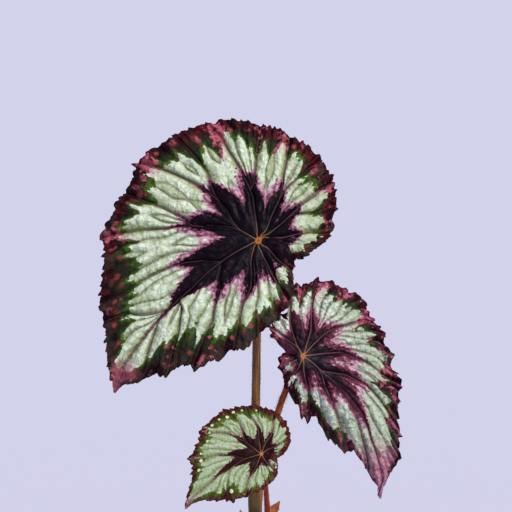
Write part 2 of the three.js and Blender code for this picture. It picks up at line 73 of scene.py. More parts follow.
class Wire:
    """A socket inside a material, so that its maths can be written as a sum."""

    def __init__(self, tree, socket=None):
        self.tree = tree
        self.socket = socket

    def node(self, kind, sockets, output=0, **settings):
        """A new node with its settings, then its sockets, as one of its outputs."""
        made = self.tree.nodes.new(kind)
        for key, value in settings.items():
            setattr(made, key, value)
        for key, value in sockets.items():
            if isinstance(value, Wire):
                self.tree.links.new(value.socket, made.inputs[key])
            else:
                made.inputs[key].default_value = value
        return Wire(self.tree, made.outputs[output])

    def math(self, operation, *others):
        """A Math node on this value, or a Vector Math node on this vector."""
        vector = self.socket.type == "VECTOR"
        kind = "ShaderNodeVectorMath" if vector else "ShaderNodeMath"
        sockets = {0: self}
        sockets.update({i + 1: other for i, other in enumerate(others)})
        return self.node(kind, sockets, operation=operation)

    def __add__(self, other):
        return self.math("ADD", other)

    def __radd__(self, other):
        return self.math("ADD", other)

    def __sub__(self, other):
        return self.math("SUBTRACT", other)

    def __rsub__(self, other):
        return self.math("MULTIPLY", -1.0).math("ADD", other)

    def __mul__(self, other):
        if self.socket.type == "VECTOR" and not isinstance(other, Wire):
            return self.node("ShaderNodeVectorMath", {0: self, "Scale": other}, operation="SCALE")
        return self.math("MULTIPLY", other)

    def __rmul__(self, other):
        return self * other

    def __truediv__(self, other):
        return self.math("DIVIDE", other)

    def step(self, low, high):
        """0 below low and 1 above high, smooth between; low may be the larger."""
        if low > high:
            return 1 - self.step(high, low)
        sockets = {0: self, 1: low, 2: high}
        return self.node("ShaderNodeMapRange", sockets, interpolation_type="SMOOTHSTEP")

    def blend(self, low, high):
        """The first colour where this is 0 and the second where it is 1."""
        return self.node("ShaderNodeMix", {0: self, 6: low, 7: high}, 2, data_type="RGBA")

    def noise(self, scale, detail=2.0, roughness=0.5):
        """Noise about 0, mostly within half either way, at this place."""
        sockets = {"Vector": self, "Scale": scale, "Detail": detail, "Roughness": roughness}
        return self.node("ShaderNodeTexNoise", sockets) - 0.5

    def cells(self, scale, feature="DISTANCE_TO_EDGE", output="Distance", sides="3D"):
        """Irregular cells at this place: how far it is to their edges or to their middles."""
        sockets = {"Vector": self, "Scale": scale}
        settings = dict(feature=feature, voronoi_dimensions=sides)
        return self.node("ShaderNodeTexVoronoi", sockets, output, **settings)

    def part(self, axis):
        """One of the three numbers of a vector, by its letter."""
        return self.node("ShaderNodeSeparateXYZ", {0: self}, axis)

    def stretched(self, x, y, z):
        """The place with each of its numbers scaled, to draw a pattern out along one way."""
        return self.node("ShaderNodeMapping", {0: self, "Scale": (x, y, z)})


class Finish:
    """A material with its shader, its places and its attributes as wires."""

    def __init__(self, name, **fixed):
        self.material = bpy.data.materials.new(name)
        self.material.use_nodes = True
        self.tree = self.material.node_tree
        self.shader = self.tree.nodes["Principled BSDF"]
        for key, value in fixed.items():
            self.shader.inputs[key.replace("_", " ")].default_value = value
        self.place = Wire(self.tree).node("ShaderNodeTexCoord", {}, "Object")

    def attribute(self, name, output="Fac"):
        return Wire(self.tree).node("ShaderNodeAttribute", {}, output, attribute_name=name)

    def drive(self, **inputs):
        """Wires into the shader's sockets, named with _ for a space."""
        for key, wire in inputs.items():
            self.tree.links.new(wire.socket, self.shader.inputs[key.replace("_", " ")])

    def bump(self, height, distance, strength=1.0):
        """Fine relief: the height times the distance, in metres."""
        sockets = {"Height": height, "Distance": distance, "Strength": strength}
        self.drive(Normal=Wire(self.tree).node("ShaderNodeBump", sockets))


def paint(red, green, blue):
    """A colour read as the eye sees it, 0 to 255, as the shader wants it."""
    tones = [c / 255 for c in (red, green, blue)]
    return (*[c / 12.92 if c < 0.04045 else ((c + 0.055) / 1.055) ** 2.4 for c in tones], 1.0)


sheet = bmesh.new()
bmesh.ops.create_grid(sheet, x_segments=2, y_segments=2, size=FLOOR_HALF_WIDTH)
bmesh.ops.translate(sheet, verts=sheet.verts, vec=(0, 0, -FLOOR_GAP))
floor = keep(sheet, "floor")
paper = Finish("floor_paper", Roughness=0.95, Specular_IOR_Level=0.0)
shade, tint = [(*[change * c for c in FLOOR_COLOUR], 1) for change in (0.98, 1.02)]
paper.drive(Base_Color=(paper.place.noise(3.0) * 0.02 + 0.5).blend(shade, tint))
floor.data.materials.append(paper.material)

sky = bpy.data.worlds.new("even_sky")
sky.use_nodes = True
sky.node_tree.nodes["Background"].inputs["Color"].default_value = (*SKY_COLOUR, 1)
bpy.context.scene.world = sky

lamp = bpy.data.objects.new("key_lamp", bpy.data.lights.new("key_lamp", "SUN"))
lamp.data.energy = LAMP_STRENGTH
lamp.data.color = LAMP_COLOUR
lamp.data.angle = LAMP_SOFTNESS
lamp.rotation_euler = Vector(LAMP_FROM).to_track_quat("Z", "Y").to_euler()
bpy.context.scene.collection.objects.link(lamp)

camera = bpy.data.objects.new("camera", bpy.data.cameras.new("camera"))
camera.data.lens = LENS
camera.data.clip_end = VIEW_END
away = Vector((0, -math.cos(CAMERA_TILT), math.sin(CAMERA_TILT)))
camera.location = Vector(CAMERA_TARGET) + CAMERA_DISTANCE * away
camera.rotation_euler = (math.pi / 2 - CAMERA_TILT, 0, 0)
bpy.context.scene.collection.objects.link(camera)
bpy.context.scene.camera = camera
bpy.context.scene.view_settings.view_transform = "Standard"


# ---- clay pot ------------------------------------------------------------------------------
# An unglazed red clay pot, thrown and fired in one piece, with a collar and three drain holes.
# Its profile is spun round the axis, its edges are eased, and the holes are cut through.

POT_HEIGHT = 112 * MM
POT_TOP_RADIUS = 65 * MM
POT_BASE_RADIUS = 42 * MM
POT_WALL = 6 * MM
POT_FLOOR = 9 * MM
COLLAR_HEIGHT = 22 * MM
COLLAR_STEP = 4.5 * MM
DRAIN_RADIUS = 4.5 * MM
DRAIN_OFFSET = 22 * MM
POT_FILLET = 4 * MM
POT_EASE = 1.3 * MM
POT_STEPS = 144
WALL_ROWS = 9
DRAIN_COUNT = 3


def spun(profile, steps):
    """A bmesh of a profile, given as radii and heights from axis to axis, spun full round."""
    made = bmesh.new()
    verts = [made.verts.new((radius, 0, height)) for radius, height in profile]
    edges = [made.edges.new(pair) for pair in zip(verts, verts[1:])]
    bmesh.ops.spin(made, geom=verts + edges, axis=(0, 0, 1), cent=(0, 0, 0),
                   angle=2 * math.pi, steps=steps, use_merge=True)
    bmesh.ops.remove_doubles(made, verts=made.verts, dist=1e-6)
    bmesh.ops.recalc_face_normals(made, faces=made.faces)
    return made


def pot_inside(height):
    """Radius of the pot's inner wall at a height."""
    collar_foot = POT_HEIGHT - COLLAR_HEIGHT
    radii = (POT_BASE_RADIUS - POT_WALL + 0.6 * MM,
             POT_TOP_RADIUS - COLLAR_STEP - POT_WALL - 1.5 * MM,
             POT_TOP_RADIUS - POT_WALL - 0.5 * MM)
    return float(np.interp(height, (POT_FLOOR, collar_foot, POT_HEIGHT), radii))


collar_foot = POT_HEIGHT - COLLAR_HEIGHT
collar_radius = POT_TOP_RADIUS - 2 * MM
wall_radius = collar_radius - COLLAR_STEP
outside = [(0, 0), (POT_BASE_RADIUS, 0)]
outside += [(POT_BASE_RADIUS + (wall_radius - POT_BASE_RADIUS) * i / WALL_ROWS,
             collar_foot * i / WALL_ROWS) for i in range(1, WALL_ROWS + 1)]
outside += [(collar_radius, collar_foot + 0.2 * MM), (POT_TOP_RADIUS, POT_HEIGHT),
            (pot_inside(POT_HEIGHT), POT_HEIGHT), (pot_inside(collar_foot), collar_foot),
            (pot_inside(POT_FLOOR + POT_FILLET), POT_FLOOR + POT_FILLET),
            (pot_inside(POT_FLOOR) - POT_FILLET, POT_FLOOR), (0, POT_FLOOR)]
body = spun(outside, POT_STEPS)
rims = [e for e in body.edges if len(e.link_faces) == 2 and e.calc_face_angle(0) > 0.35]
bmesh.ops.bevel(body, geom=rims, offset=POT_EASE, offset_type="OFFSET", segments=4,
                affect="EDGES", profile=0.5, material=-1, clamp_overlap=True)
for v in body.verts:  # a thrown pot isn't quite true
    turn = math.atan2(v.co.y, v.co.x)
    swell = 0.25 * MM * math.sin(2 * turn + 0.7) + 0.12 * MM * math.sin(5 * turn + 40 * v.co.z)
    if v.co.xy.length > 30 * MM:
        v.co.xy *= 1 + swell / v.co.xy.length
pot = keep(body, "clay_pot")
drill = bmesh.new()
for i in range(DRAIN_COUNT):
    turn = (i + 0.25) * 2 * math.pi / DRAIN_COUNT
    spot = Matrix.Translation(Vector((math.cos(turn), math.sin(turn), 0)) * DRAIN_OFFSET)
    bmesh.ops.create_cone(drill, cap_ends=True, segments=32, radius1=DRAIN_RADIUS,
                          radius2=DRAIN_RADIUS, depth=4 * POT_FLOOR, matrix=spot)
cutter = keep(drill, "drain_cutter")
cut = pot.modifiers.new("drains", "BOOLEAN")
cut.object = cutter
cut.operation = "DIFFERENCE"
whole = bpy.data.meshes.new_from_object(pot.evaluated_get(bpy.context.evaluated_depsgraph_get()))
pot.modifiers.clear()
pot.data = whole
bpy.data.objects.remove(cutter)

clay = Finish("fired_clay", Specular_IOR_Level=0.25)
high = clay.place.part("Z")
turning = clay.place.stretched(1, 1, 14)
streak = turning.noise(28.0, 4.0)
blotch = clay.place.noise(22.0, 5.0, 0.6)
grit = clay.place.noise(420.0, 3.0, 0.65)
tone = (streak * 0.5 + blotch * 0.9 + 0.5).step(0.15, 0.85)
fired = tone.blend(paint(150, 82, 52), paint(196, 122, 84))
salts = (blotch * 1.6 + grit * 0.7 + high.step(0.115, 0.04) * 0.35).step(0.28, 0.72)
fired = (salts * 0.55).blend(fired, paint(214, 186, 164))
damp = (high + blotch * 0.012).step(0.104, 0.097) * high.step(0.06, 0.09)
fired = (clay.place.noise(900.0).step(0.16, 0.3) * 0.6).blend(fired, paint(96, 48, 30))
clay.drive(Base_Color=(damp * 0.12).blend(fired, paint(92, 50, 32)),
           Roughness=grit * 0.2 + 0.86)
clay.bump(grit * 0.5 + turning.noise(60.0, 2.0) * 0.7, 0.0006, 0.55)
pot.data.materials.clear()
pot.data.materials.append(clay.material)
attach(pot, "root")
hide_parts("pot")


# ---- potting soil --------------------------------------------------------------------------
# Loose peaty mix that fills the pot to a finger below its rim. The bed is spun like the pot,
# its top is roughened by noise, and crumbs of peat and bark lie sunk into it.

SOIL_LEVEL = 98 * MM
SOIL_GAP = 0.4 * MM
BED_STEPS = 160
BED_RINGS = 56
CRUMB_COUNT = 900
CRUMB_SIZES = [0.9, 1.3, 2.0, 2.8]
CRUMB_SHARES = [0.4, 0.35, 0.2, 0.05]
rng = np.random.default_rng(7)


def soil_height(x, y):
    """Height of the soil's top, with its slow swells and its lumps."""
    swell = math.sin(310 * x + 1.3) * math.cos(270 * y) + 0.6 * math.sin(550 * x - 470 * y)
    lump = 1.5 * MM * noise.fractal(Vector((x, y, 0)) * 160, 0.7, 2.1, 4)
    fall = 1.4 * MM * max(0.0, (math.hypot(x, y) - 44 * MM) / (12 * MM))
    return SOIL_LEVEL + 1.1 * MM * swell + lump - fall


low = POT_FLOOR + POT_FILLET
rim_radius = pot_inside(SOIL_LEVEL) - SOIL_GAP
bed_profile = [(0, POT_FLOOR + 0.3 * MM),
               (pot_inside(POT_FLOOR) - POT_FILLET - SOIL_GAP, POT_FLOOR + 0.3 * MM),
               (pot_inside(low) - 0.5 * MM, low + 0.3 * MM),
               (pot_inside(collar_foot) - SOIL_GAP, collar_foot)]
bed_profile += [(rim_radius * (1 - i / BED_RINGS), SOIL_LEVEL) for i in range(BED_RINGS + 1)]
bed = spun(bed_profile, BED_STEPS)
for v in bed.verts:
    if v.co.z > SOIL_LEVEL - 0.1 * MM:
        v.co.z = soil_height(v.co.x, v.co.y)
        reach = v.co.xy.length
        if reach < rim_radius - 1 * MM:
            v.co.x += 0.5 * MM * noise.noise(v.co * 300)
            v.co.y += 0.5 * MM * noise.noise(v.co * 300 + Vector((9, 4, 2)))
for i in range(CRUMB_COUNT):
    out = (rim_radius - 1.5 * MM) * math.sqrt(rng.uniform(0.02, 1))
    turn = rng.uniform(0, 2 * math.pi)
    x, y = out * math.cos(turn), out * math.sin(turn)
    size = rng.choice(CRUMB_SIZES, p=CRUMB_SHARES) * MM
    flat = Matrix.Diagonal((1, rng.uniform(0.5, 0.9), rng.uniform(0.4, 0.8), 1))
    spin_way = Matrix.Rotation(rng.uniform(0, 6.28), 4, Vector(rng.normal(size=3)))
    lie = Matrix.Translation((x, y, soil_height(x, y) + 0.15 * size)) @ spin_way @ flat
    crumb = bmesh.ops.create_icosphere(bed, subdivisions=1, radius=size, matrix=lie)
    for v in crumb["verts"]:
        v.co += Vector(rng.normal(size=3)) * 0.12 * size
soil = keep(bed, "potting_soil")
peat = Finish("peat", Specular_IOR_Level=0.2)
clod = peat.place.noise(260.0, 5.0, 0.7)
fibre = peat.place.cells(330.0, "F1")
earth = clod.step(-0.25, 0.3).blend(paint(28, 18, 12), paint(88, 62, 42))
earth = (peat.place.noise(120.0, 1.0).step(0.12, 0.2) * 0.6).blend(earth, paint(122, 88, 56))
peat.drive(Base_Color=earth, Roughness=clod * 0.2 + 0.92)
peat.bump(clod + fibre * 0.6, 0.0012, 0.8)
soil.data.materials.append(peat.material)
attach(soil, "root")
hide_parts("soil")


# ---- short stem with its roots ---------------------------------------------------------------
# The fleshy upright stem that the stalks grow from, ringed by the scars of old leaves, with its
# roots in the soil. The stem is spun and roughened; each root is a straight, tapered cone.

STEM_FOOT = 81 * MM
STEM_TOP = 138 * MM
STEM_RADIUS = 9 * MM
STEM_SHAPE = [(0, 0), (0.55, 0.02), (0.8, 0.12), (0.98, 0.3), (1.08, 0.36), (0.98, 0.42),
              (1.02, 0.56), (1.1, 0.62), (1, 0.68), (1.02, 0.8), (0.9, 0.9), (0.66, 0.97),
              (0.4, 1), (0, 1)]
STEM_STEPS = 72
STEM_ROWS = 70
RING_SPACING = 4.6 * MM
SCAR_RADIUS = 3.4 * MM
SCARS = [(0.0078, -0.0035, 0.108), (-0.0065, -0.006, 0.113), (0.002, 0.009, 0.106),
         (-0.008, 0.0035, 0.122), (0.0005, -0.0088, 0.121), (0.0085, 0.002, 0.119)]
ROOT_COUNT = 7
ROOT_LENGTH = 46 * MM
ROOT_RADIUS = 1.9 * MM
ROOT_TIP_RADIUS = 0.5 * MM
ROOT_CUTS = 10

shares = np.linspace(0, 1, STEM_ROWS)
widths = np.interp(shares, [s for _, s in STEM_SHAPE], [r for r, _ in STEM_SHAPE])
widths[1:-1] = (widths[:-2] + 2 * widths[1:-1] + widths[2:]) / 4
rises = STEM_FOOT + shares * (STEM_TOP - STEM_FOOT)
stem_profile = [(max(width, 0.02) * STEM_RADIUS, rise) for width, rise in zip(widths, rises)]
stock = spun([(0, STEM_FOOT)] + stem_profile + [(0, STEM_TOP)], STEM_STEPS)
for v in stock.verts:
    turn = math.atan2(v.co.y, v.co.x)
    lobes = 0.6 * MM * math.sin(3 * turn + 120 * v.co.z)
    lobes += 0.9 * MM * noise.fractal(v.co * 190, 0.8, 2.1, 4)
    slip = 1.6 * math.sin(2 * turn) + 2.5 * noise.noise(v.co * 110)
    rings = 0.2 * MM * math.sin(v.co.z * 2 * math.pi / RING_SPACING + slip)
    scar = sum(math.exp(-((v.co - Vector(at)).length / SCAR_RADIUS) ** 2) for at in SCARS)
    grown = (lobes + rings + 0.9 * MM * scar) * min(1.0, v.co.xy.length / (4 * MM))
    if v.co.xy.length > 1e-6:
        v.co.xy *= 1 + grown / v.co.xy.length
for i in range(ROOT_COUNT):
    turn = i * 2 * math.pi / ROOT_COUNT + 0.4
    dip = math.radians(38 + 14 * (i % 3))
    length = ROOT_LENGTH * (1 - 0.12 * (i % 4))
    way = Vector((math.cos(turn), math.sin(turn), -math.tan(dip))).normalized()
    tip_turn = way.to_track_quat("Z", "Y").to_matrix().to_4x4()
    foot = Vector((0, 0, STEM_FOOT + (7 + 2 * (i % 3)) * MM))
    lie = Matrix.Translation(foot + way * length / 2) @ tip_turn
    root = bmesh.ops.create_cone(stock, cap_ends=True, segments=12, radius1=ROOT_RADIUS,
                                 radius2=ROOT_TIP_RADIUS, depth=length, matrix=lie)
    sides = {e for v in root["verts"] for e in v.link_edges
             if abs((e.verts[0].co - e.verts[1].co).dot(way)) > 10 * MM}
    bmesh.ops.subdivide_edges(stock, edges=list(sides), cuts=ROOT_CUTS)
rhizome = keep(stock, "rhizome_stem")
bark = Finish("stem_skin", Specular_IOR_Level=0.35)
mottle = bark.place.noise(330.0, 4.0, 0.6)
band = bark.place.stretched(1, 1, 5).noise(150.0, 3.0)
up = bark.place.part("Z")
skin = (mottle + band * 0.8).step(-0.35, 0.4).blend(paint(74, 50, 28), paint(142, 104, 58))
fresh = (up + mottle * 0.01).step(0.122, 0.136)
skin = (fresh * 0.7).blend(skin, paint(150, 92, 48))
skin = (bark.place.cells(420.0).step(0.09, 0.02) * 0.5).blend(skin, paint(46, 28, 18))
bark.drive(Base_Color=skin, Roughness=mottle * 0.3 + 0.68)
bark.bump(mottle + band, 0.0008, 0.8)
rhizome.data.materials.append(bark.material)
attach(rhizome, "root")
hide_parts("rhizome")


# ---- leaf stalks -----------------------------------------------------------------------------
# Round, faintly ribbed stalks that carry the blades, olive on the large leaf and red on the
# others, covered in soft hairs. A sheet is rolled up along each route, and the hairs are cones.

#   sides, steps         columns round it and rows along it
#   hairs, hair          how many hairs, which also seeds them, and their length in millimetres
#   dark, light, flush   the tones of its streaks, and the tone near its foot
#   route, radii         millimetres, from inside the stem to the blade's underside

STALKS = [
    dict(
        name="stalk_large", node="petiole_large", slot="olive_stalk", sides=28, steps=190,
        hairs=520, hair=1.5,
        dark=paint(58, 34, 10), light=paint(134, 88, 34), flush=paint(70, 74, 28),
        route=[(-0.7, 0.6, 130), (-0.6, 0.4, 141), (-0.9, 0.4, 152), (-0.5, 2, 185),
               (0.2, 6, 232), (0.7, 8, 272), (1.3, 2, 303), (1.5, -9.2, 317.9)],
        radii=[4.4, 3.9, 3.1, 2.75, 2.65, 2.6, 2.4, 2.3]),
    dict(
        name="stalk_right", node="petiole_right", slot="red_stalk", sides=22, steps=130,
        hairs=560, hair=1.9,
        dark=paint(104, 38, 12), light=paint(204, 102, 32), flush=paint(148, 66, 22),
        route=[(1.6, 7.4, 126), (1.9, 9.4, 146), (4.6, 12, 169.3), (9, 13.5, 186),
               (14.8, 14.5, 206), (20, 16.4, 220), (24.8, 17.6, 231.5), (28.3, 12.5, 239),
               (29.2, 7, 241.3)],
        radii=[2.6, 2.25, 2.15, 2.1, 2.1, 2.1, 2.05, 2, 1.9]),
    dict(
        name="stalk_small", node="petiole_small", slot="red_stalk", sides=18, steps=80,
        hairs=260, hair=1.3,
        dark=paint(90, 26, 16), light=paint(170, 66, 36), flush=paint(130, 48, 30),
        route=[(3.6, -3.2, 125), (6.1, -7.2, 136), (7.1, -9, 145), (6.7, -12, 154),
               (6, -17, 165), (5, -23.5, 177), (3.5, -35.2, 189)],
        radii=[2.4, 2, 1.8, 1.55, 1.4, 1.3, 1.25]),
]
HAIR_FOOT_RADIUS = 0.085
HAIR_TIP_RADIUS = 0.015
HAIRY_PART = (0.16, 0.985)
HAIR_COLOUR = paint(196, 132, 96)
FLECK_COLOUR = paint(64, 20, 12)
ROUTE_STEPS = 24


def smooth_route(route, count):
    """Even points along a smooth curve through the route, with the way it runs at each."""
    points = np.array(route, float)
    ends = [2 * points[0] - points[1]], [2 * points[-1] - points[-2]]
    points = np.concatenate([ends[0], points, ends[1]])
    fine = []
    for a, b, c, d in zip(points, points[1:], points[2:], points[3:]):
        for t in np.linspace(0, 1, ROUTE_STEPS, endpoint=False):
            fine.append(0.5 * (2 * b + (c - a) * t + (2 * a - 5 * b + 4 * c - d) * t ** 2
                               + (3 * b - a - 3 * c + d) * t ** 3))
    fine = np.array(fine + [points[-2]])
    run = np.concatenate([[0], np.cumsum(np.linalg.norm(np.diff(fine, axis=0), axis=1))])
    even = np.linspace(0, run[-1], count)
    path = np.stack([np.interp(even, run, fine[:, axis]) for axis in range(3)], 1)
    way = np.gradient(path, axis=0)
    return path, way / np.linalg.norm(way, axis=1, keepdims=True), run[-1]


def rolled_sheet(columns, rows):
    """A grid whose corners count off columns and rows, ready to be rolled or spread."""
    made = bmesh.new()
    bmesh.ops.create_grid(made, x_segments=columns, y_segments=rows, size=0.5)
    at = np.array([v.co[:2] for v in made.verts]) + 0.5
    column, row = np.rint(at * (columns, rows)).astype(int).T
    return made, column, row


def give(mesh, name, values):
    """A number for each vertex, or a vector if values has three columns, for the material."""
    kind, field = ("FLOAT_VECTOR", "vector") if values.ndim == 2 else ("FLOAT", "value")
    layer = mesh.attributes.new(name, kind, "POINT")
    layer.data.foreach_set(field, values.astype(np.float32).ravel())


def make_stalk(stalk):
    """A stalk with its hairs, and the places round and along it that its skin is painted by."""
    steps, sides = stalk["steps"], stalk["sides"]
    path, way, length = smooth_route(stalk["route"], steps + 1)
    knots = np.linspace(0, 1, len(stalk["radii"]))
    radius = np.interp(np.linspace(0, 1, steps + 1), knots, stalk["radii"])
    side = np.cross(way, (0.0, 1.0, 0.0))
    side /= np.linalg.norm(side, axis=1, keepdims=True)
    front = np.cross(side, way)
    tube, column, row = rolled_sheet(sides, steps)
    turn = 2 * math.pi * column / sides
    noise_at = np.stack([0.12 * row, 3 * np.cos(turn), 3 * np.sin(turn)], 1)
    wobble = np.array([noise.noise(Vector(at)) for at in noise_at])
    ribbed = radius[row] * (1 + 0.025 * np.sin(5 * turn + 0.02 * row) + 0.05 * wobble)
    outward = np.cos(turn)[:, None] * side[row] + np.sin(turn)[:, None] * front[row]
    for v, at in zip(tube.verts, (path[row] + ribbed[:, None] * outward) * MM):
        v.co = at
    bmesh.ops.remove_doubles(tube, verts=tube.verts, dist=1e-6)
    bmesh.ops.holes_fill(tube, edges=[e for e in tube.edges if e.is_boundary], sides=0)
    bmesh.ops.recalc_face_normals(tube, faces=tube.faces)
    dice = np.random.default_rng(stalk["hairs"])
    for _ in range(stalk["hairs"]):
        i = int(dice.uniform(*HAIRY_PART) * steps)
        t = dice.uniform(0, 2 * math.pi)
        out = Vector(math.cos(t) * side[i] + math.sin(t) * front[i])
        lean = out + Vector(way[i]) * dice.uniform(-0.5, 0.35)
        lean = (lean + Vector(dice.normal(size=3)) * 0.18).normalized()
        tall = stalk["hair"] * dice.uniform(0.5, 1.15)
        foot = Vector(path[i]) + out * radius[i] * 0.97
        tilt = lean.to_track_quat("Z", "Y").to_matrix().to_4x4()
        bmesh.ops.create_cone(tube, cap_ends=True, segments=4, radius1=HAIR_FOOT_RADIUS * MM,
                              radius2=HAIR_TIP_RADIUS * MM, depth=tall * MM,
                              matrix=Matrix.Translation((foot + lean * tall / 2) * MM) @ tilt)
    made = keep(tube, stalk["name"])
    place = np.array([v.co[:] for v in made.data.vertices]) / MM
    nearest = np.argmin(((place[:, None, :] - path[None, ::2, :]) ** 2).sum(2), axis=1) * 2
    nearest = np.minimum(nearest, steps)
    off = place - path[nearest]
    around = np.arctan2((off * front[nearest]).sum(1), (off * side[nearest]).sum(1))
    lift = np.linalg.norm(off, axis=1) / radius[nearest]
    along = nearest / steps * length
    give(made.data, "roll", np.stack([np.cos(around), np.sin(around), along], 1))
    give(made.data, "lift", lift)
    give(made.data, "along", along / length)
    return made


for stalk in STALKS:
    made = make_stalk(stalk)
    flesh = Finish(stalk["name"] + "_skin", Specular_IOR_Level=0.4)
    roll = flesh.attribute("roll", "Vector")
    long_way = roll.stretched(2.6, 2.6, 0.045)
    fine_way = roll.stretched(7.0, 7.0, 0.12)
    streaks = long_way.noise(1.0, 3.0) + fine_way.noise(1.0, 2.0) * 0.7
    specks = flesh.place.noise(900.0, 2.0)
    colour = (streaks + specks * 0.25).step(-0.3, 0.34).blend(stalk["dark"], stalk["light"])
    share = flesh.attribute("along")
    colour = ((share + streaks * 0.1).step(0.34, 0.06) * 0.6).blend(colour, stalk["flush"])
    flecks = (fine_way * 1.7).noise(1.0, 1.0).step(0.1, 0.22)
    colour = (flecks * 0.55).blend(colour, FLECK_COLOUR)
    hairy = flesh.attribute("lift").step(1.12, 1.5)
    colour = (hairy * 0.8).blend(colour, HAIR_COLOUR)
    flesh.drive(Base_Color=colour, Roughness=streaks * 0.15 + 0.5)
    flesh.bump((streaks + specks * 0.5) * (1 - hairy), 0.00035, 0.6)
    made.data.materials.append(flesh.material)
    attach(made, "root")
    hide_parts(stalk["node"])


# ---- stipules --------------------------------------------------------------------------------
# The papery, pointed scales that wrapped each leaf in bud and still stand at the stalks' feet.
# Each is a thin curled sheet with lengthwise nerves and a frayed edge, thickened a little.

STIPULES = [
    dict(node="stipule_front", foot=(7.4, 0.4, 125), tip=(14.9, -3, 150),
         width=6.4, curl=2.2, bend=3.2, twist=-62),
    dict(node="stipule_left", foot=(-7.6, -2.4, 122), tip=(-15, -6, 141),
         width=7, curl=2, bend=1, twist=40),
    dict(node="stipule_back", foot=(-4.6, 6.6, 120), tip=(-10, 15, 139),
         width=6.5, curl=2, bend=1, twist=20),
]
STIPULE_AT = [0, 0.15, 0.4, 0.66, 0.82, 0.92, 1]
STIPULE_HALF_WIDTH = [0.28, 0.38, 0.4, 0.42, 0.46, 0.18, 0.03]
STIPULE_COLUMNS = 14
STIPULE_ROWS = 48
STIPULE_THICKNESS = 0.45 * MM

scale_skin = Finish("papery_scale", Specular_IOR_Level=0.3)
flat = scale_skin.attribute("flat", "Vector")
nerves = flat.stretched(2.2, 0.12, 1).noise(1.0, 3.0)
rise = flat.part("Y")
brown = (nerves + scale_skin.place.noise(300.0, 3.0) * 0.5).step(-0.3, 0.35)
scale_colour = brown.blend(paint(208, 104, 50), paint(244, 178, 132))
scale_colour = (rise.step(15.0, 26.0) * 0.5).blend(scale_colour, paint(122, 44, 26))
scale_colour = (rise.step(9.0, 0.0) * 0.5).blend(scale_colour, paint(136, 110, 60))
scale_skin.drive(Base_Color=scale_colour, Roughness=nerves * 0.2 + 0.62)
scale_skin.bump(nerves, 0.0005, 0.8)
for stipule in STIPULES:
    foot, tip = Vector(stipule["foot"]), Vector(stipule["tip"])
    width, length = stipule["width"], (tip - foot).length
    y_way = (tip - foot).normalized()
    outward = Vector((foot.x, foot.y, 0)).normalized()
    x_way = y_way.cross(outward).normalized()
    z_way = x_way.cross(y_way)
    blade, column, row = rolled_sheet(STIPULE_COLUMNS, STIPULE_ROWS)
    s = row / STIPULE_ROWS
    half = width * np.interp(s, STIPULE_AT, STIPULE_HALF_WIDTH)
    across = 2 * column / STIPULE_COLUMNS - 1
    fray = 1 + 0.05 * np.sin(11 * s * math.pi) * (np.abs(across) == 1)
    x = across * half * fray
    y = s * length
    z = stipule["curl"] * (1 - (2 * s - 1) ** 2) - 0.06 * x * x
    rooted = np.clip(s / 0.3, 0, 1)
    z = np.maximum(z, -1) * rooted ** 2 * (3 - 2 * rooted)
    z += 0.25 * np.sin(x * 1.9 + 3 * s) * s
    twist = np.radians(stipule["twist"]) * np.clip(s / 0.5, 0, 1)
    x, z = x * np.cos(twist) - z * np.sin(twist), x * np.sin(twist) + z * np.cos(twist)
    bend = stipule["bend"] * np.sin(math.pi * s)
    for v, a, b, c, d in zip(blade.verts, x, y, z, bend):
        v.co = (foot + x_way * a + y_way * b + z_way * c - outward * d) * MM
    made = keep(blade, stipule["node"] + "_scale")
    give(made.data, "flat", np.stack([x, y, z], 1))
    shell = made.modifiers.new("thickness", "SOLIDIFY")
    shell.thickness = STIPULE_THICKNESS
    shell.offset = 0
    made.data.materials.append(scale_skin.material)
    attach(made, "root")
    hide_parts(stipule["node"])


# ---- leaf blades -----------------------------------------------------------------------------
# Three painted blades, each a fan of veins from its stalk: a dark heart, a silver zone between
# green wedges, and a toothed burgundy margin. Each is a sheet spread by columns that follow its
# veins, puckered between them, then thickened with its veins standing out below.

# Lengths are millimetres and angles degrees. Those of the outline, the veins and the zones are in
# the blade's own plane, round its joint, and a share is of the way from there to the margin.
#   joint, lean, turn    where the stalk meets it, how far it leans back and its turn about +Z
#   axis, bow, droop     the midrib's angle, the fall to all sides and the fall towards the tip
#   left, right, width   the slopes of its two halves, and how rounded the fold between them is
#   overlap, hook        how far one lobe lies over the other; radii and angle of a bend at the tip
#   pitch, rings         the columns' spacing at the margin, and the rows out to it
#   tooth, tooth_pitch   the height and spacing of the small teeth
#   ruffle, pucker, crumple, lobe_height    heights of the relief
#   lobe                 the width of the lobes between the veins
#   edge, points         the margin's angle and reach; its large teeth's angle, height, half width
#   veins                name: the vein that it forks from, then its course, ending at the margin
#   heart, silver        angle and share that the dark heart and the silver reach
#   flank, flank_reach   the share that the dark beside a vein reaches, by name and for the rest
#   flank_width          its half width near the joint
#   rosy, rosy_width     angle and strength of the pink flushes, and their width
#   dots                 angle, share and size of the margin's single spots
#   rim, right_rim       the dark margin's width, and what its right side has more
#   fringe_width, blush_to    the pink fringe's width, and the share beyond which it is narrow
#   scallop, line        the depth of the silver's scallops, and half the width of a vein's line
#   star, tip            the size of the light star at the joint, and of the flush at the tip
#   pinks, fade          the share of the margin's blots that stay dark, and of plum in the heart
#   valley, quilt, twigs    strengths of the shade by the veins, the quilting and the side veins
#   detail, colours      how fine its patterns are, and its paints

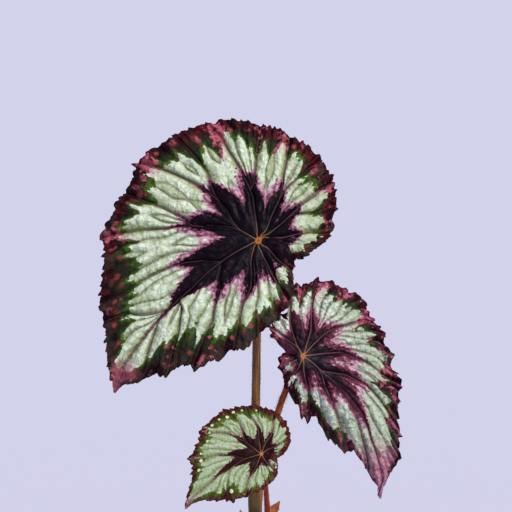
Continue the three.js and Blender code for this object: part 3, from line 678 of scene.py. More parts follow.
LEAVES = [
    dict(
        name="blade_large", node="leaf_large", joint=(1.5, -10, 318.9), lean=32, turn=-6, axis=222,
        bow=6, droop=9, left=0.16, right=0.05, width=8, ruffle=1.6, overlap=3.6,
        hook=(100, 124, 0), pitch=1.02, rings=78, tooth=2.4, tooth_pitch=5.6, pucker=2.2, lobe=8.5,
        lobe_height=1.7, crumple=0.5,
        edge=[
            (-22, 27), (-6, 36.5), (8, 44.5), (23, 49.5), (43, 60.5), (65, 68.5), (90, 78.5),
            (115, 88.5), (131, 92.5), (141, 95.5), (147, 95), (153, 93), (165, 95), (175, 98),
            (182, 97), (202, 105), (212, 110), (220, 119), (226, 123.5), (229.5, 116),
            (234, 103.5), (237, 97.5), (240, 90.5), (250, 81.5), (258, 70), (264, 67.5),
            (271, 60.5), (289, 48.2), (306, 39.3), (322, 28), (332, 26), (343, 21), (358, 15.4),
            (373, 8.5)],
        points=[
            (28, 2, 6), (66, 1.5, 4), (98.5, 2, 3), (116, 2.5, 3), (146.5, 3, 4), (177, 4, 6),
            (202, 2, 6), (226, 2, 5), (236.5, 2.5, 3), (246, 4.5, 4), (254, 3.5, 3),
            (265, 2.5, 3)],
        veins={
            "right": (None, (6, 2), (13, 2), (23, 5), (37, 8), (46, 13)),
            "right_b": ("rightup", (19, 17), (25, 18), (33, 19), (48, 26)),
            "rightup": (None, (10, 8), (19, 17), (25, 24), (32, 30), (37, 36), (46, 41)),
            "upright_b": ("upright", (12, 29), (15, 35), (20, 40), (24, 44), (36, 55)),
            "upright": (None, (2, 3), (7, 16), (12, 29), (13, 44), (14, 54), (15, 74)),
            "up_b": ("up", (-7, 34), (-5, 39), (-5, 51), (-5, 59), (-3, 80)),
            "up": (None, (-5, 29), (-7, 34), (-9, 38), (-16, 51), (-22, 60), (-29, 72), (-39, 82)),
            "upleft_b": ("upleft", (-27, 27), (-31, 35), (-35, 46), (-40, 53), (-58, 72)),
            "upleft": (None, (-12, 7), (-20, 19), (-27, 27), (-36, 34), (-46, 40), (-65, 49),
                (-83, 55)),
            "left_mid": ("left", (-34, 9), (-42, 10), (-48, 15), (-61, 22), (-91, 36)),
            "left": ("upleft", (-12, 7), (-28, 10), (-44, 10), (-59, 8), (-75, 8), (-102, 4)),
            "left_low": ("midrib", (-22, -14), (-33, -13), (-44, -14), (-54, -17), (-70, -24),
                (-82, -32), (-99, -39)),
            "mid_left": ("midrib", (-55, -45), (-71, -47), (-80, -45), (-96, -50)),
            "midrib": (None, (-11, -6), (-22, -14), (-39, -30), (-54, -44), (-68, -60), (-81, -77),
                (-86, -92)),
            "mid_down3": ("midrib", (-60, -51), (-63, -61), (-68, -80)),
            "mid_down2": ("midrib", (-45, -42), (-46, -49), (-47, -58), (-53, -81)),
            "mid_down": ("midrib", (-22, -15), (-22, -30), (-24, -37), (-26, -51), (-29, -56),
                (-39, -81)),
            "down": (None, (-2, -4), (-3, -21), (-3, -29), (-8, -40), (-10, -50), (-13, -69)),
            "down_r": (None, (1, -4), (6, -14), (9, -20), (15, -30), (19, -37)),
            "down_rr": (None, (4, -3), (12, -11), (19, -16), (23, -21)),
        },
        flank={"midrib": 0.66, "down_r": 0.66, "down_rr": 0.75, "left_low": 0.52},
        flank_reach=0.56, flank_width=4.4, rosy_width=4.5, line=0.45, star=4.2, scallop=6.0,
        detail=1.0, pinks=0.85, blush_to=0.6, valley=0.35, quilt=0.5, twigs=0.4, tip=15,
        right_rim=0,
        heart=[
            (-22, .55), (-8, .5), (2, .55), (10, .56), (22, .4), (30, .44), (38, .56), (44, .5),
            (50, .3), (58, .38), (66, .55), (74, .45), (82, .28), (90, .38), (100, .55),
            (108, .38), (113, .26), (120, .38), (130, .55), (140, .42), (146, .3), (153, .4),
            (163, .5), (170, .33), (177, .2), (184, .28), (190, .33), (198, .5), (205, .4),
            (213, .55), (219, .62), (223, .5), (228, .38), (236, .45), (243, .34), (248, .28),
            (254, .38), (262, .5), (270, .38), (276, .42), (284, .32), (292, .38), (297, .46),
            (305, .42), (315, .48), (322, .62), (328, 1.1), (373, 1.2)],
        silver=[
            (-22, .7), (-10, .74), (-5, .8), (3, .82), (9, .74), (14, .82), (22, .84), (29, .7),
            (35, .8), (42, .88), (47, .76), (53, .8), (60, .68), (65, .84), (74, .82), (80, .88),
            (85, .74), (90, .84), (95, .7), (101, .83), (108, .86), (112, .8), (115, .66),
            (120, .83), (127, .66), (133, .84), (139, .8), (146, .93), (152, .86), (158, .76),
            (164, .85), (171, .84), (177, .93), (180, .78), (186, .87), (192, .72), (197, .8),
            (201, .74), (207, .84), (213, .84), (219, .88), (222, .93), (227, .93), (230, .8),
            (236, .74), (241, .82), (245, .7), (250, .8), (258, .78), (263, .76), (270, .8),
            (276, .75), (283, .79), (291, .73), (297, .68), (302, .76), (310, .78), (318, .8),
            (324, .6), (330, .4), (373, .3)],
        rosy=[
            (42, 1), (80, .9), (93, .5), (113, 1.2), (146, 1.8), (177, 1.3), (225, 1.7),
            (245, .25), (260, .3), (17, .4)],
        colours=dict(
            heart=paint(9, 3, 13), painted_sheen=paint(30, 26, 40), fringe=paint(130, 70, 96),
            blush=paint(192, 156, 168), silver=paint(212, 226, 204), sage=paint(140, 156, 102),
            olive=paint(72, 100, 30), green=paint(36, 48, 25), teal=paint(42, 54, 45),
            wine=paint(80, 6, 17), night=paint(18, 6, 10), rose=paint(186, 96, 112),
            plum=paint(70, 14, 28), brown=paint(40, 24, 22), seam=paint(104, 110, 92),
            ember=paint(134, 50, 54), dot=paint(146, 66, 66), vein=paint(112, 74, 94),
            tan=paint(116, 86, 66), tip=paint(138, 80, 92), pip=paint(150, 58, 34),
            glow=paint(158, 104, 50), thread=paint(84, 62, 60)),
        fringe_width=7.0, rim=9.0, fade=0.1,
        dots=[
            (18, .9, 1.2), (29, .935, 1.2), (41, .92, 1.5), (57, .91, 1.4), (74, .92, 1.5),
            (80, .935, 1.3), (98, .92, 1.1), (107, .91, 1.7), (108, .875, 1.2), (122, .875, 1.6),
            (133, .87, .9), (139, .95, 1.5), (148, .885, 1.3), (156.5, .85, 1.2),
            (157.5, .89, 1.9), (163, .925, 1.6), (166.5, .855, .8), (172, .935, 1.5),
            (177.5, .95, 1), (179.5, .87, 1.3), (182, .93, 1.3), (187, .89, 1.7), (186.5, .855, 1),
            (194, .895, 1.6), (203.5, .91, 1.6), (203.5, .87, 1.2), (210, .885, 1),
            (211, .935, 1.4), (217, .915, 1.3), (229.5, .83, .8), (234, .87, .9), (241, .905, 1.5),
            (249, .875, 1.4), (253, .81, .9), (257.5, .885, 1.3), (267.5, .835, 1.6),
            (290, .85, 1.4)]),
    dict(
        name="blade_right", node="leaf_right", joint=(29.4, 6, 241.7), lean=30, turn=10, axis=-52,
        bow=6, droop=14, left=0.12, right=0.95, width=8, ruffle=3.3, overlap=3.4,
        hook=(88, 98, -2.4), pitch=0.98, rings=64, tooth=3.0, tooth_pitch=7.0, pucker=2.0,
        lobe=8.0, lobe_height=1.6, crumple=0.6,
        edge=[
            (156, 10), (166, 12.5), (178, 13.6), (200, 14.5), (220, 16.5), (235, 19.5), (252, 23),
            (262, 29), (269, 34.5), (279, 37), (286, 49.5), (291, 60), (296.8, 67), (297.8, 77),
            (298.8, 86), (299.8, 93.5), (300.8, 95), (302.4, 93.5), (304, 92), (306, 90.5),
            (311, 88.5), (316, 80), (325, 72), (335, 66.5), (345, 62.5), (352, 59.5), (360, 59),
            (367, 54), (373, 56), (385, 54.5), (400, 56.5), (412, 55), (425, 54.5), (435, 52.5),
            (441, 48.5), (451, 47), (456, 39), (462, 32.5), (465.5, 29.5), (469, 30), (476, 32),
            (488, 29), (499, 25.5), (507, 18), (514, 13.5), (521, 12), (528, 10.5)],
        points=[
            (267, 2.5, 3), (274, 2, 3), (290, 2.5, 4), (300.8, 2, 3), (320, 4, 5), (343, 3, 4),
            (361, 2, 4), (382, 2, 4), (435, 0.5, 3), (449, 1, 4), (177, 1.5, 2), (200, 2.8, 2.2),
            (505, 2.2, 2.2)],
        veins={
            "i": (None, (-1, -2), (-3, -7), (-7, -10), (-12, -11)),
            "g": (None, (0, -4), (0, -9), (2, -19), (3, -25), (2, -37)),
            "h": ("midrib", (9, -8), (12, -19), (16, -30), (19, -37), (24, -56)),
            "j": ("midrib", (25, -24), (29, -35), (34, -51), (39, -71)),
            "midrib": (None, (4, -3), (11, -10), (25, -24), (35, -38), (40, -54), (44, -66),
                (47, -77), (47, -85)),
            "f": ("midrib", (11, -10), (17, -11), (26, -12.5), (39, -19), (48, -29), (55, -40),
                (62, -49)),
            "e": (None, (10, 1), (24, 2), (32, -1), (43, -6), (52, -14), (63, -19)),
            "d": (None, (7, 7), (18, 16), (30, 20), (43, 24), (52, 21)),
            "c": (None, (3, 7), (7, 17), (8, 25), (10, 38), (17, 51)),
            "b": (None, (-2, 4), (-4, 11), (-6, 21), (-5, 31), (-2, 45)),
            "a": (None, (-1, 3), (-7, 9), (-14, 16), (-18, 19)),
        },
        flank={"midrib": 0.66, "f": 0.56, "b": 0.62}, flank_reach=0.54, flank_width=3.4,
        rosy_width=5.0, line=0.5, star=3.4, scallop=5.0, detail=1.1, pinks=0.45, blush_to=0.68,
        valley=0.4, quilt=0.9, twigs=0.4, tip=26, right_rim=0,
        heart=[
            (156, .62), (175, .6), (190, .62), (205, .45), (225, .38), (245, .35), (262, .36),
            (272, .24), (283, .16), (292, .18), (300, .26), (308, .28), (314, .5), (320, .48),
            (327, .32), (335, .36), (342, .22), (350, .24), (358, .4), (364, .45), (372, .3),
            (384, .26), (392, .14), (400, .26), (408, .4), (416, .28), (424, .42), (432, .36),
            (441, .2), (450, .5), (457, .62), (466, .55), (474, .36), (482, .5), (488, .6),
            (495, .6), (503, .9), (528, 1.1)],
        silver=[
            (156, .5), (175, .5), (200, .62), (215, .74), (226, .74), (240, .78), (255, .82),
            (262, .74), (270, .8), (278, .74), (283, .7), (288, .82), (293, .85), (297.5, .88),
            (300, .97), (303, .93), (307, .88), (312, .86), (320, .84), (326, .88), (333, .82),
            (337, .64), (342, .86), (347, .76), (352, .86), (358, .9), (364, .86), (370, .76),
            (375, .86), (381, .84), (386, .7), (392, .86), (400, .88), (406, .74), (412, .86),
            (418, .78), (424, .86), (430, .84), (436, .72), (442, .86), (449, .68), (454, .9),
            (462, .98), (468, .8), (474, .95), (484, .92), (490, .95), (497, .85), (503, .5),
            (528, .3)],
        rosy=[
            (180, 1.2), (215, .6), (273, .5), (302, 1.7), (320, .8), (343, .8), (352, .7),
            (366, .7), (390, 1), (412, .6), (430, 1), (447, .6), (495, 1)],
        colours=dict(
            heart=paint(22, 7, 20), painted_sheen=paint(72, 60, 78), fringe=paint(114, 54, 74),
            blush=paint(192, 156, 168), silver=paint(216, 230, 214), sage=paint(142, 160, 128),
            olive=paint(56, 76, 30), green=paint(30, 36, 20), teal=paint(60, 62, 54),
            wine=paint(96, 18, 36), night=paint(34, 9, 20), rose=paint(190, 96, 122),
            plum=paint(92, 32, 52), brown=paint(44, 24, 28), seam=paint(112, 92, 100),
            ember=paint(150, 66, 64), dot=paint(190, 110, 120), vein=paint(108, 66, 86),
            tan=paint(120, 84, 60), tip=paint(180, 138, 156), pip=paint(160, 84, 42),
            glow=paint(160, 106, 56), thread=paint(98, 70, 78)),
        fringe_width=6.5, rim=5.5, fade=0.55, dots=[]),
    dict(
        name="blade_small", node="leaf_small", joint=(3.4, -36, 189.8), lean=36, turn=-6, axis=213,
        bow=10, droop=12, left=0.16, right=0.05, width=5, ruffle=0.8, overlap=2.8,
        hook=(40, 57, 0), pitch=0.72, rings=52, tooth=1.9, tooth_pitch=4.4, pucker=1.1, lobe=5.2,
        lobe_height=0.5, crumple=0.22,
        edge=[
            (-10, 9), (5, 14), (20, 18), (35, 21), (53, 24.5), (72, 29), (90, 31), (110, 35),
            (131, 38), (150, 41), (168, 41), (178, 43.5), (190, 43.5), (203, 47), (211, 52.5),
            (215.5, 55.5), (218, 50), (222, 45), (228, 40), (238, 34), (246, 31.5), (253, 28),
            (268, 23.5), (285, 20), (297, 18.5), (308, 16.3), (320, 14), (334, 11.5), (350, 9.5),
            (363, 8.5)],
        points=[
            (216.5, 2.5, 3), (184.5, 2.5, 4), (158.5, 2.5, 4), (131.5, 1.5, 3), (240, 1.5, 3)],
        veins={
            "e": (None, (4, 3), (8, 5), (18, 13)),
            "d": (None, (2, 7), (5, 12), (6, 18), (5, 24), (5, 31)),
            "c": (None, (-2, 9), (-3, 17), (-7, 23), (-10, 26), (-13, 34)),
            "b2": ("b", (-10, 8), (-12, 14), (-15, 20), (-20, 25), (-27, 30)),
            "b": (None, (-4, 3), (-10, 8), (-15, 10), (-21, 13), (-28, 14), (-34, 14), (-40, 16)),
            "left": ("midrib", (-9, -3), (-17, -1), (-24, -1), (-30, -1), (-35, -3), (-47, -3)),
            "midrib": (None, (-9, -3), (-19, -10), (-25, -13), (-29, -17), (-36, -23), (-41, -27),
                (-46, -33)),
            "mid_d": ("midrib", (-19, -10), (-20, -17), (-17, -30)),
            "g": (None, (-2, -6), (-4, -11), (-7, -15), (-9, -27)),
            "f": (None, (2, -3), (5, -7), (11, -10)),
        },
        flank={"midrib": 0.6}, flank_reach=0.6, flank_width=1.3, rosy_width=3.0, line=0.28,
        star=2.2, scallop=2.6, detail=1.8, pinks=0.95, blush_to=0.3, valley=0.0, quilt=0.12,
        twigs=0.12, tip=4.6, right_rim=2.4,
        heart=[
            (-10, .5), (5, .58), (15, .52), (25, .45), (33, .55), (45, .4), (53, .35), (60, .48),
            (68, .54), (80, .26), (88, .38), (97, .5), (103, .45), (112, .32), (120, .3),
            (130, .42), (140, .38), (149, .46), (156, .24), (166, .28), (176, .42), (181, .5),
            (188, .36), (196, .42), (203, .52), (208, .56), (213, .42), (219, .28), (228, .32),
            (236, .38), (244, .5), (250, .38), (262, .34), (272, .3), (285, .36), (296, .54),
            (303, .6), (308, .56), (318, .54), (328, .6), (335, 1.1), (363, 1.2)],
        silver=[
            (-10, .55), (5, .68), (12, .78), (20, .8), (27, .74), (33, .82), (45, .86), (54, .84),
            (60, .76), (68, .82), (74, .82), (80, .7), (86, .82), (92, .7), (100, .86), (106, .78),
            (111, .68), (117, .78), (122, .84), (130, .72), (138, .84), (143, .78), (150, .84),
            (155, .93), (158, .84), (164, .87), (168, .8), (174, .91), (180, .84), (187, .8),
            (192, .88), (197, .84), (204, .9), (210, .94), (215, .98), (218, .84), (226, .82),
            (233, .78), (240, .82), (248, .87), (254, .84), (262, .83), (270, .86), (276, .86),
            (284, .8), (292, .72), (298, .55), (304, .84), (307, .7), (315, .84), (325, .82),
            (332, .6), (340, .4), (363, .3)],
        rosy=[
            (131, .3), (157, .7), (214, 1.2), (184, .4)],
        colours=dict(
            heart=paint(32, 8, 12), painted_sheen=paint(56, 22, 22), fringe=paint(120, 70, 74),
            blush=paint(178, 168, 156), silver=paint(180, 198, 168), sage=paint(126, 144, 92),
            olive=paint(90, 108, 32), green=paint(58, 74, 24), teal=paint(78, 92, 40),
            wine=paint(104, 34, 32), night=paint(52, 16, 18), rose=paint(180, 124, 126),
            plum=paint(88, 38, 32), brown=paint(56, 46, 16), seam=paint(116, 128, 92),
            ember=paint(124, 60, 36), dot=paint(222, 218, 188), vein=paint(124, 104, 96),
            tan=paint(140, 98, 70), tip=paint(166, 136, 138), pip=paint(176, 92, 52),
            glow=paint(178, 122, 70), thread=paint(112, 80, 62)),
        fringe_width=1.5, rim=2.9, fade=0.4,
        dots=[
            (125, .91, 1.0), (133.5, .87, 1.1), (141, .9, .8), (149.5, .91, 1.0), (157, .89, .8),
            (166.5, .86, .9), (174, .9, .7), (180, .87, .7), (187, .87, 1.1), (195.5, .9, 1.0),
            (225.5, .83, 1.0), (234.5, .83, 1.3), (116, .9, .7), (100, .9, .7), (52, .9, .8),
            (318, .87, .7)]),
]
PAD_RADIUS = 3.0
PAD_ROWS = 3
REST_RADIUS = 10.0
RELIEF_RADIUS = 9.0
VEIN_APART = 0.14
SINUS_SLIT = 0.3
VEIN_END = 132
VEIN_STEP = 0.25
RADII = np.arange(0, VEIN_END, VEIN_STEP)
SWEEP_STEPS = 6000
FIT_ROUNDS = 14
TOOTH_RISE = 0.68
TOOTH_FALL = 0.32
LAP_FROM = 3.6
LAP_TO = 7
CALM_COLUMNS = 9
LAP_COLUMNS = 24
NO_DOT = 9.0
RAY_DEPTH = 0.0045
LOBE_SCALE = 12.0
FINGER_SCALE = 24.0
STREAK_SCALE = 58.0
CORAL_SCALE = 0.32
PATCH_SCALE = 0.09
CURD_SCALE = 0.5
GRAIN_SCALE = 2.0
KNOB_SCALE = 0.42
WARP_SCALE = 0.25
QUILT_SCALE = 0.22
SPOT_SCALE = 0.15
BLADE_THICKNESS = 0.5
RIB_THICKNESS = 1.7


def smooth(low, high, x):
    """0 below low and 1 above high, smooth between, for arrays."""
    t = np.clip((x - low) / (high - low), 0, 1)
    return t * t * (3 - 2 * t)


def edge_reach(edge, angle):
    """Smooth reach of the margin at each angle, with no overshoot between the listed points."""
    at, reach = np.array(edge, float).T
    slope = np.diff(reach) / np.diff(at)
    both = slope[:-1] * slope[1:]
    mean = np.where(both > 0, 2 * both / np.where(both > 0, slope[:-1] + slope[1:], 1), 0)
    tangent = np.concatenate([slope[:1], mean, slope[-1:]])
    i = np.clip(np.searchsorted(at, angle, side="right") - 1, 0, len(at) - 2)
    wide = at[i + 1] - at[i]
    u = np.clip((angle - at[i]) / wide, 0, 1)
    return (reach[i] * (2 * u ** 3 - 3 * u ** 2 + 1)
            + reach[i + 1] * (3 * u ** 2 - 2 * u ** 3)
            + tangent[i] * wide * (u ** 3 - 2 * u ** 2 + u)
            + tangent[i + 1] * wide * (u ** 3 - u ** 2))


def point_height(leaf, angle, reach):
    """How far the large teeth stand out beyond the margin at each angle."""
    height = np.zeros_like(angle)
    for at, tall, half in leaf["points"]:
        off = np.abs(np.radians(angle - at)) * reach
        height = np.maximum(height, tall * np.maximum(0, 1 - off / half))
    return height


def blade_rest(leaf, x, y):
    """The blade without its relief: bowed, drooping to the tip and folded along the midrib."""
    axis = math.radians(leaf["axis"])
    along = x * math.cos(axis) + y * math.sin(axis)
    across = y * math.cos(axis) - x * math.sin(axis)
    slope = np.where(across > 0, leaf["left"], leaf["right"])
    return (-leaf["bow"] * (x * x + y * y) / 1e4
            - leaf["droop"] * (np.maximum(0, along) / 100) ** 2
            - slope * (np.hypot(across, leaf["width"]) - leaf["width"]))


def vein_fan(leaf):
    """The veins in order, with their angles at all radii, kept apart where they run together."""
    start = leaf["edge"][0][0]
    drawn = {}
    for name, (parent, *points) in leaf["veins"].items():
        x, y = np.array(points, float).T
        angle = np.degrees(np.unwrap(np.arctan2(y, x)))
        angle += 360 * math.ceil((start - angle[-1]) / 360)
        drawn[name] = (parent, np.hypot(x, y), angle)

    def course(name):
        """A vein's angle at every radius, along its parent up to where it forks."""
        parent, radii, angles = drawn[name]
        own = np.interp(RADII, radii, angles)
        return own if parent is None else np.where(RADII < radii[0], course(parent), own)

    def trunk(name):
        """The first vein that this one comes from."""
        return trunk(drawn[name][0]) if drawn[name][0] else name

    names = sorted(drawn, key=lambda name: drawn[name][2][-1])
    fan = [course(name) for name in names]
    apart = np.degrees(VEIN_APART / np.maximum(RADII, PAD_RADIUS))
    for k, name in enumerate(names):
        if trunk(name) != name:
            continue
        i = k + 1
        while i < len(names) and trunk(names[i]) == name:
            fan[i] = np.maximum(fan[i], fan[i - 1] + apart)
            i += 1
        i = k - 1
        while i >= 0 and trunk(names[i]) == name:
            fan[i] = np.minimum(fan[i], fan[i + 1] - apart)
            i -= 1
    for k in range(1, len(fan)):
        fan[k] = np.maximum(fan[k], fan[k - 1] + apart * 0.3)
    blur = np.hanning(11) / np.hanning(11).sum()
    fan = [np.convolve(np.pad(angles, 5, mode="edge"), blur, "valid") for angles in fan]
    return [dict(name=name, angles=angles, fork=drawn[name][1][0] if drawn[name][0] else 0.0)
            for name, angles in zip(names, fan)]


def spread_blade(leaf):
    """The blade's sheet with its columns along its veins, and the fields that it is painted by."""
    start, end = leaf["edge"][0][0], leaf["edge"][-1][0]
    veins = vein_fan(leaf)
    rays = [vein["angles"] for vein in veins]
    rays = [np.full_like(RADII, start)] + rays + [np.full_like(RADII, end)]

    def fan_angle(k, f, radius):
        """The angle at each radius of a column that lies the share f from ray k to the next."""
        angle = np.empty_like(radius)
        for i in range(len(rays) - 1):
            here = k == i
            angle[here] = ((1 - f[here]) * np.interp(radius[here], RADII, rays[i])
                           + f[here] * np.interp(radius[here], RADII, rays[i + 1]))
        return angle

    def run_along(angle, reach):
        """The length of the margin up to each of its places."""
        steps = np.hypot(np.diff(reach), np.radians(np.diff(angle)) * reach[1:])
        return np.concatenate([[0], np.cumsum(steps)])

    # Columns are shared out evenly along the margin between the ends of the veins.
    tips = np.array([ray[-1] for ray in rays])
    sweep = np.linspace(start, end, SWEEP_STEPS)
    hem = run_along(sweep, edge_reach(leaf["edge"], sweep))
    at_tips = np.interp(tips, sweep, hem)
    counts = np.maximum(4, np.rint(np.diff(at_tips) / leaf["pitch"]).astype(int))
    gap = np.append(np.repeat(np.arange(len(counts)), counts), len(counts) - 1)
    evenly = np.append(np.concatenate([np.arange(n) / n for n in counts]), 1.0)
    along = np.interp(at_tips[gap] * (1 - evenly) + at_tips[gap + 1] * evenly, hem, sweep)
    part = (along - tips[gap]) / np.diff(tips)[gap]
    between = edge_reach(leaf["edge"], (tips[:-1] + tips[1:]) / 2)
    within = RADII[None, :] < 0.9 * between[:, None]
    arcs = np.max(np.radians(np.diff(rays, axis=0)) * RADII * within, axis=1)
    columns = len(gap) - 1

    # The margin's small teeth, uneven and steeper on one side.
    reach = edge_reach(leaf["edge"], along)
    for _ in range(FIT_ROUNDS):
        tip = fan_angle(gap, part, reach)
        reach = (reach + edge_reach(leaf["edge"], tip)) / 2
    margin = run_along(tip, reach)
    phase = margin / leaf["tooth_pitch"]
    phase = phase + 0.45 * np.sin(margin / 9.1) + 0.25 * np.sin(margin / 3.7)
    saw = phase % 1
    saw = np.where(saw < TOOTH_RISE, saw / TOOTH_RISE, (1 - saw) / TOOTH_FALL)
    nth = np.floor(phase)
    uneven = 0.75 + 0.4 * np.sin(nth * 2.4) + 0.3 * np.sin(nth * 5.1 + 1)
    nicks = 0.6 * np.abs(((2.6 * phase) % 1) - 0.5)
    tooth = leaf["tooth"] * np.minimum(1, reach / 30) * (saw * uneven + nicks - 0.5)

    # The sheet's own place, as radius and angle round the joint.
    rows = leaf["rings"] + PAD_ROWS
    share = np.clip((np.arange(rows + 1) - PAD_ROWS) / leaf["rings"], 0, 1)
    share = 0.35 * share + 0.65 * (1 - (1 - share) ** 1.25)
    sheet, column, row = rolled_sheet(columns, rows)
    s = share[row]
    full = reach[column] + point_height(leaf, tip, reach)[column] * smooth(0.85, 1, s)
    full = full + tooth[column] * smooth(0.93, 1, s)
    radius = PAD_RADIUS + (full - PAD_RADIUS) * s
    radius = np.where(row < PAD_ROWS, PAD_RADIUS * row / PAD_ROWS, radius)
    angle = fan_angle(gap[column], part[column], radius)
    spaced = start + (end - start) * column / columns
    angle = np.where(row <= PAD_ROWS, 0.4 * spaced + 0.6 * angle, angle)

    # How far it is to the nearest vein, and to the veins on both sides.
    to_low, to_high = angle - start, end - angle
    nearest = np.full(len(angle), 1e3)
    flank = np.full(len(angle), -50.0)
    for vein in veins:
        off = angle - np.interp(radius, RADII, vein["angles"])
        awake = radius > vein["fork"] - 0.5
        away = np.radians(np.abs(off)) * radius + (0.12 if vein["fork"] else 0)
        nearest = np.where(awake, np.minimum(nearest, away), nearest)
        to_low = np.where(awake & (off >= 0), np.minimum(to_low, off), to_low)
        to_high = np.where(awake & (off <= 0), np.minimum(to_high, -off), to_high)
        dark = leaf["flank"].get(vein["name"], leaf["flank_reach"])
        half = leaf["flank_width"] * np.clip((dark - s) / 0.3, -1, 1)
        flank = np.where(awake, np.maximum(flank, half - away), flank)
    gap_angle = to_low + to_high
    gap_arc = np.radians(gap_angle) * radius
    across = np.clip(2 * np.minimum(to_low, to_high) / np.maximum(gap_angle, 1e-6), 0, 1)

    # Close to the joint the two lobes meet with a slit between them; further out they overlap.
    middle = (start + end) / 2
    beyond = radius > PAD_RADIUS + 1e-6
    lapped = np.where(beyond, smooth(LAP_FROM, LAP_TO, radius), 0)
    squeeze = (360 - np.where(beyond, SINUS_SLIT, 0)) / (end - start) * (1 - lapped) + lapped
    hook_from, hook_to, hook_by = leaf["hook"]
    bent = middle + (angle - middle) * squeeze + hook_by * smooth(hook_from, hook_to, radius)
    x, y = radius * np.cos(np.radians(bent)), radius * np.sin(np.radians(bent))

    # The relief: pillows and pleats between the veins, grooves along them, waves at the margin.
    def rough(scale, shift=(0, 0, 0)):
        """Noise over the blade's plane."""
        return np.array([noise.noise(p * leaf["detail"] * scale + Vector(shift)) for p in plane])

    plane = [Vector((a, b, 0)) for a, b in zip(x, y)]
    crumple = rough(0.19) + 0.3 * rough(0.41)
    slow = rough(0.06, (5, 3, 1))
    away_from_pad = smooth(PAD_RADIUS, RELIEF_RADIUS, radius)
    to_side = np.minimum(column, columns - column)
    calm = smooth(0, CALM_COLUMNS, to_side)
    pillow = np.minimum(leaf["pucker"], 0.11 * gap_arc) * np.sin(math.pi / 2 * across) ** 0.9
    pillow *= 1 - 0.5 * smooth(0.75, 1, s)
    lobe_count = np.maximum(1, np.rint(arcs * 0.85 / leaf["lobe"]))[gap[column]]
    pleat = across * lobe_count / 2 * np.maximum(s, 0.25) ** -0.3 * (1 + 0.25 * slow)
    pleat = pleat + 0.3 * slow * smooth(0, 0.5, across)
    lobe_width = gap_arc / lobe_count
    ribs = np.abs(np.sin(math.pi * pleat)) ** 0.8 * smooth(0.1, 0.3, s) * (1 + 0.6 * crumple)
    ribs *= np.minimum(leaf["lobe_height"], 0.24 * lobe_width)
    groove = np.exp(-((nearest * leaf["detail"] / 1.2) ** 2))
    groove = 0.4 / leaf["detail"] * groove * (1 - 0.6 * s)
    swing = margin[column]
    wave = (0.75 * np.sin(swing / 5.4) + 0.55 * np.sin(swing / 2.9 + 1)) * s ** 5
    crimp = 0.42 * np.sin(swing / 0.95 + 2 * np.sin(swing / 7)) * smooth(0.78, 0.97, s)
    wave += crimp * (1 + 0.5 * np.sin(swing / 4))
    wave *= leaf["ruffle"] * np.minimum(1, radius / 40)
    side = smooth(0, LAP_COLUMNS, column) - smooth(0, LAP_COLUMNS, columns - column)
    lift = leaf["overlap"] / 2 * side * smooth(PAD_RADIUS, LAP_TO, radius)
    z = blade_rest(leaf, x, y) * smooth(PAD_RADIUS, REST_RADIUS, radius) + lift
    z = z + (pillow + ribs - groove + leaf["crumple"] * crumple + wave) * away_from_pad * calm

    place = (Matrix.Translation(Vector(leaf["joint"]))
             @ Matrix.Rotation(math.radians(leaf["turn"]), 4, "Z")
             @ Matrix.Rotation(math.radians(90 - leaf["lean"]), 4, "X"))
    turn = np.array(place.to_3x3())
    world_at = (np.stack([x, y, z], 1) @ turn.T + np.array(place.translation)) * MM
    for v, at in zip(sheet.verts, world_at):
        v.co = at
    bmesh.ops.reverse_faces(sheet, faces=sheet.faces)

    # The fields for its colours, mostly in millimetres; heart and silver are above 0 inside.
    heart_at, heart_share = np.array(leaf["heart"], float).T
    silver_at, silver_share = np.array(leaf["silver"], float).T
    notch = np.interp(angle, heart_at, heart_share) * reach[column] - radius
    crest = np.interp(angle, silver_at, silver_share) * reach[column] - radius
    rosy = np.zeros(len(angle))
    for at, strength in leaf["rosy"]:
        off = np.radians(angle - at) * radius
        rosy = np.maximum(rosy, strength * np.exp(-((off / leaf["rosy_width"]) ** 2)))
    fields = dict(share=s, vein=nearest, heart=np.maximum(notch, flank), silver=crest, rosy=rosy,
                  rim=full - radius, ridge=across, pleat=pleat, hem=swing,
                  lobe=lobe_width, plane=np.stack([x, y, radius], 1))
    far = np.argmax(full[row == rows])
    tip_x, tip_y = x[row == rows][far], y[row == rows][far]
    fields["tip"] = np.hypot(x - tip_x, y - tip_y)
    fields["dot"] = np.full(len(angle), NO_DOT)
    for at, dot_share, size in leaf["dots"]:
        dot_way = math.radians(at)
        dot_out = dot_share * edge_reach(leaf["edge"], np.array([at]))[0]
        off = np.hypot(x - dot_out * math.cos(dot_way), y - dot_out * math.sin(dot_way)) / size
        fields["dot"] = np.minimum(fields["dot"], off)
    fields["rib"] = np.exp(-((nearest / 1.3) ** 2)) * (1 - 0.7 * s) * away_from_pad
    fields["rib"] += 0.5 * (1 - away_from_pad)
    return sheet, fields, place.to_3x3() @ Vector((0, 0, 1))


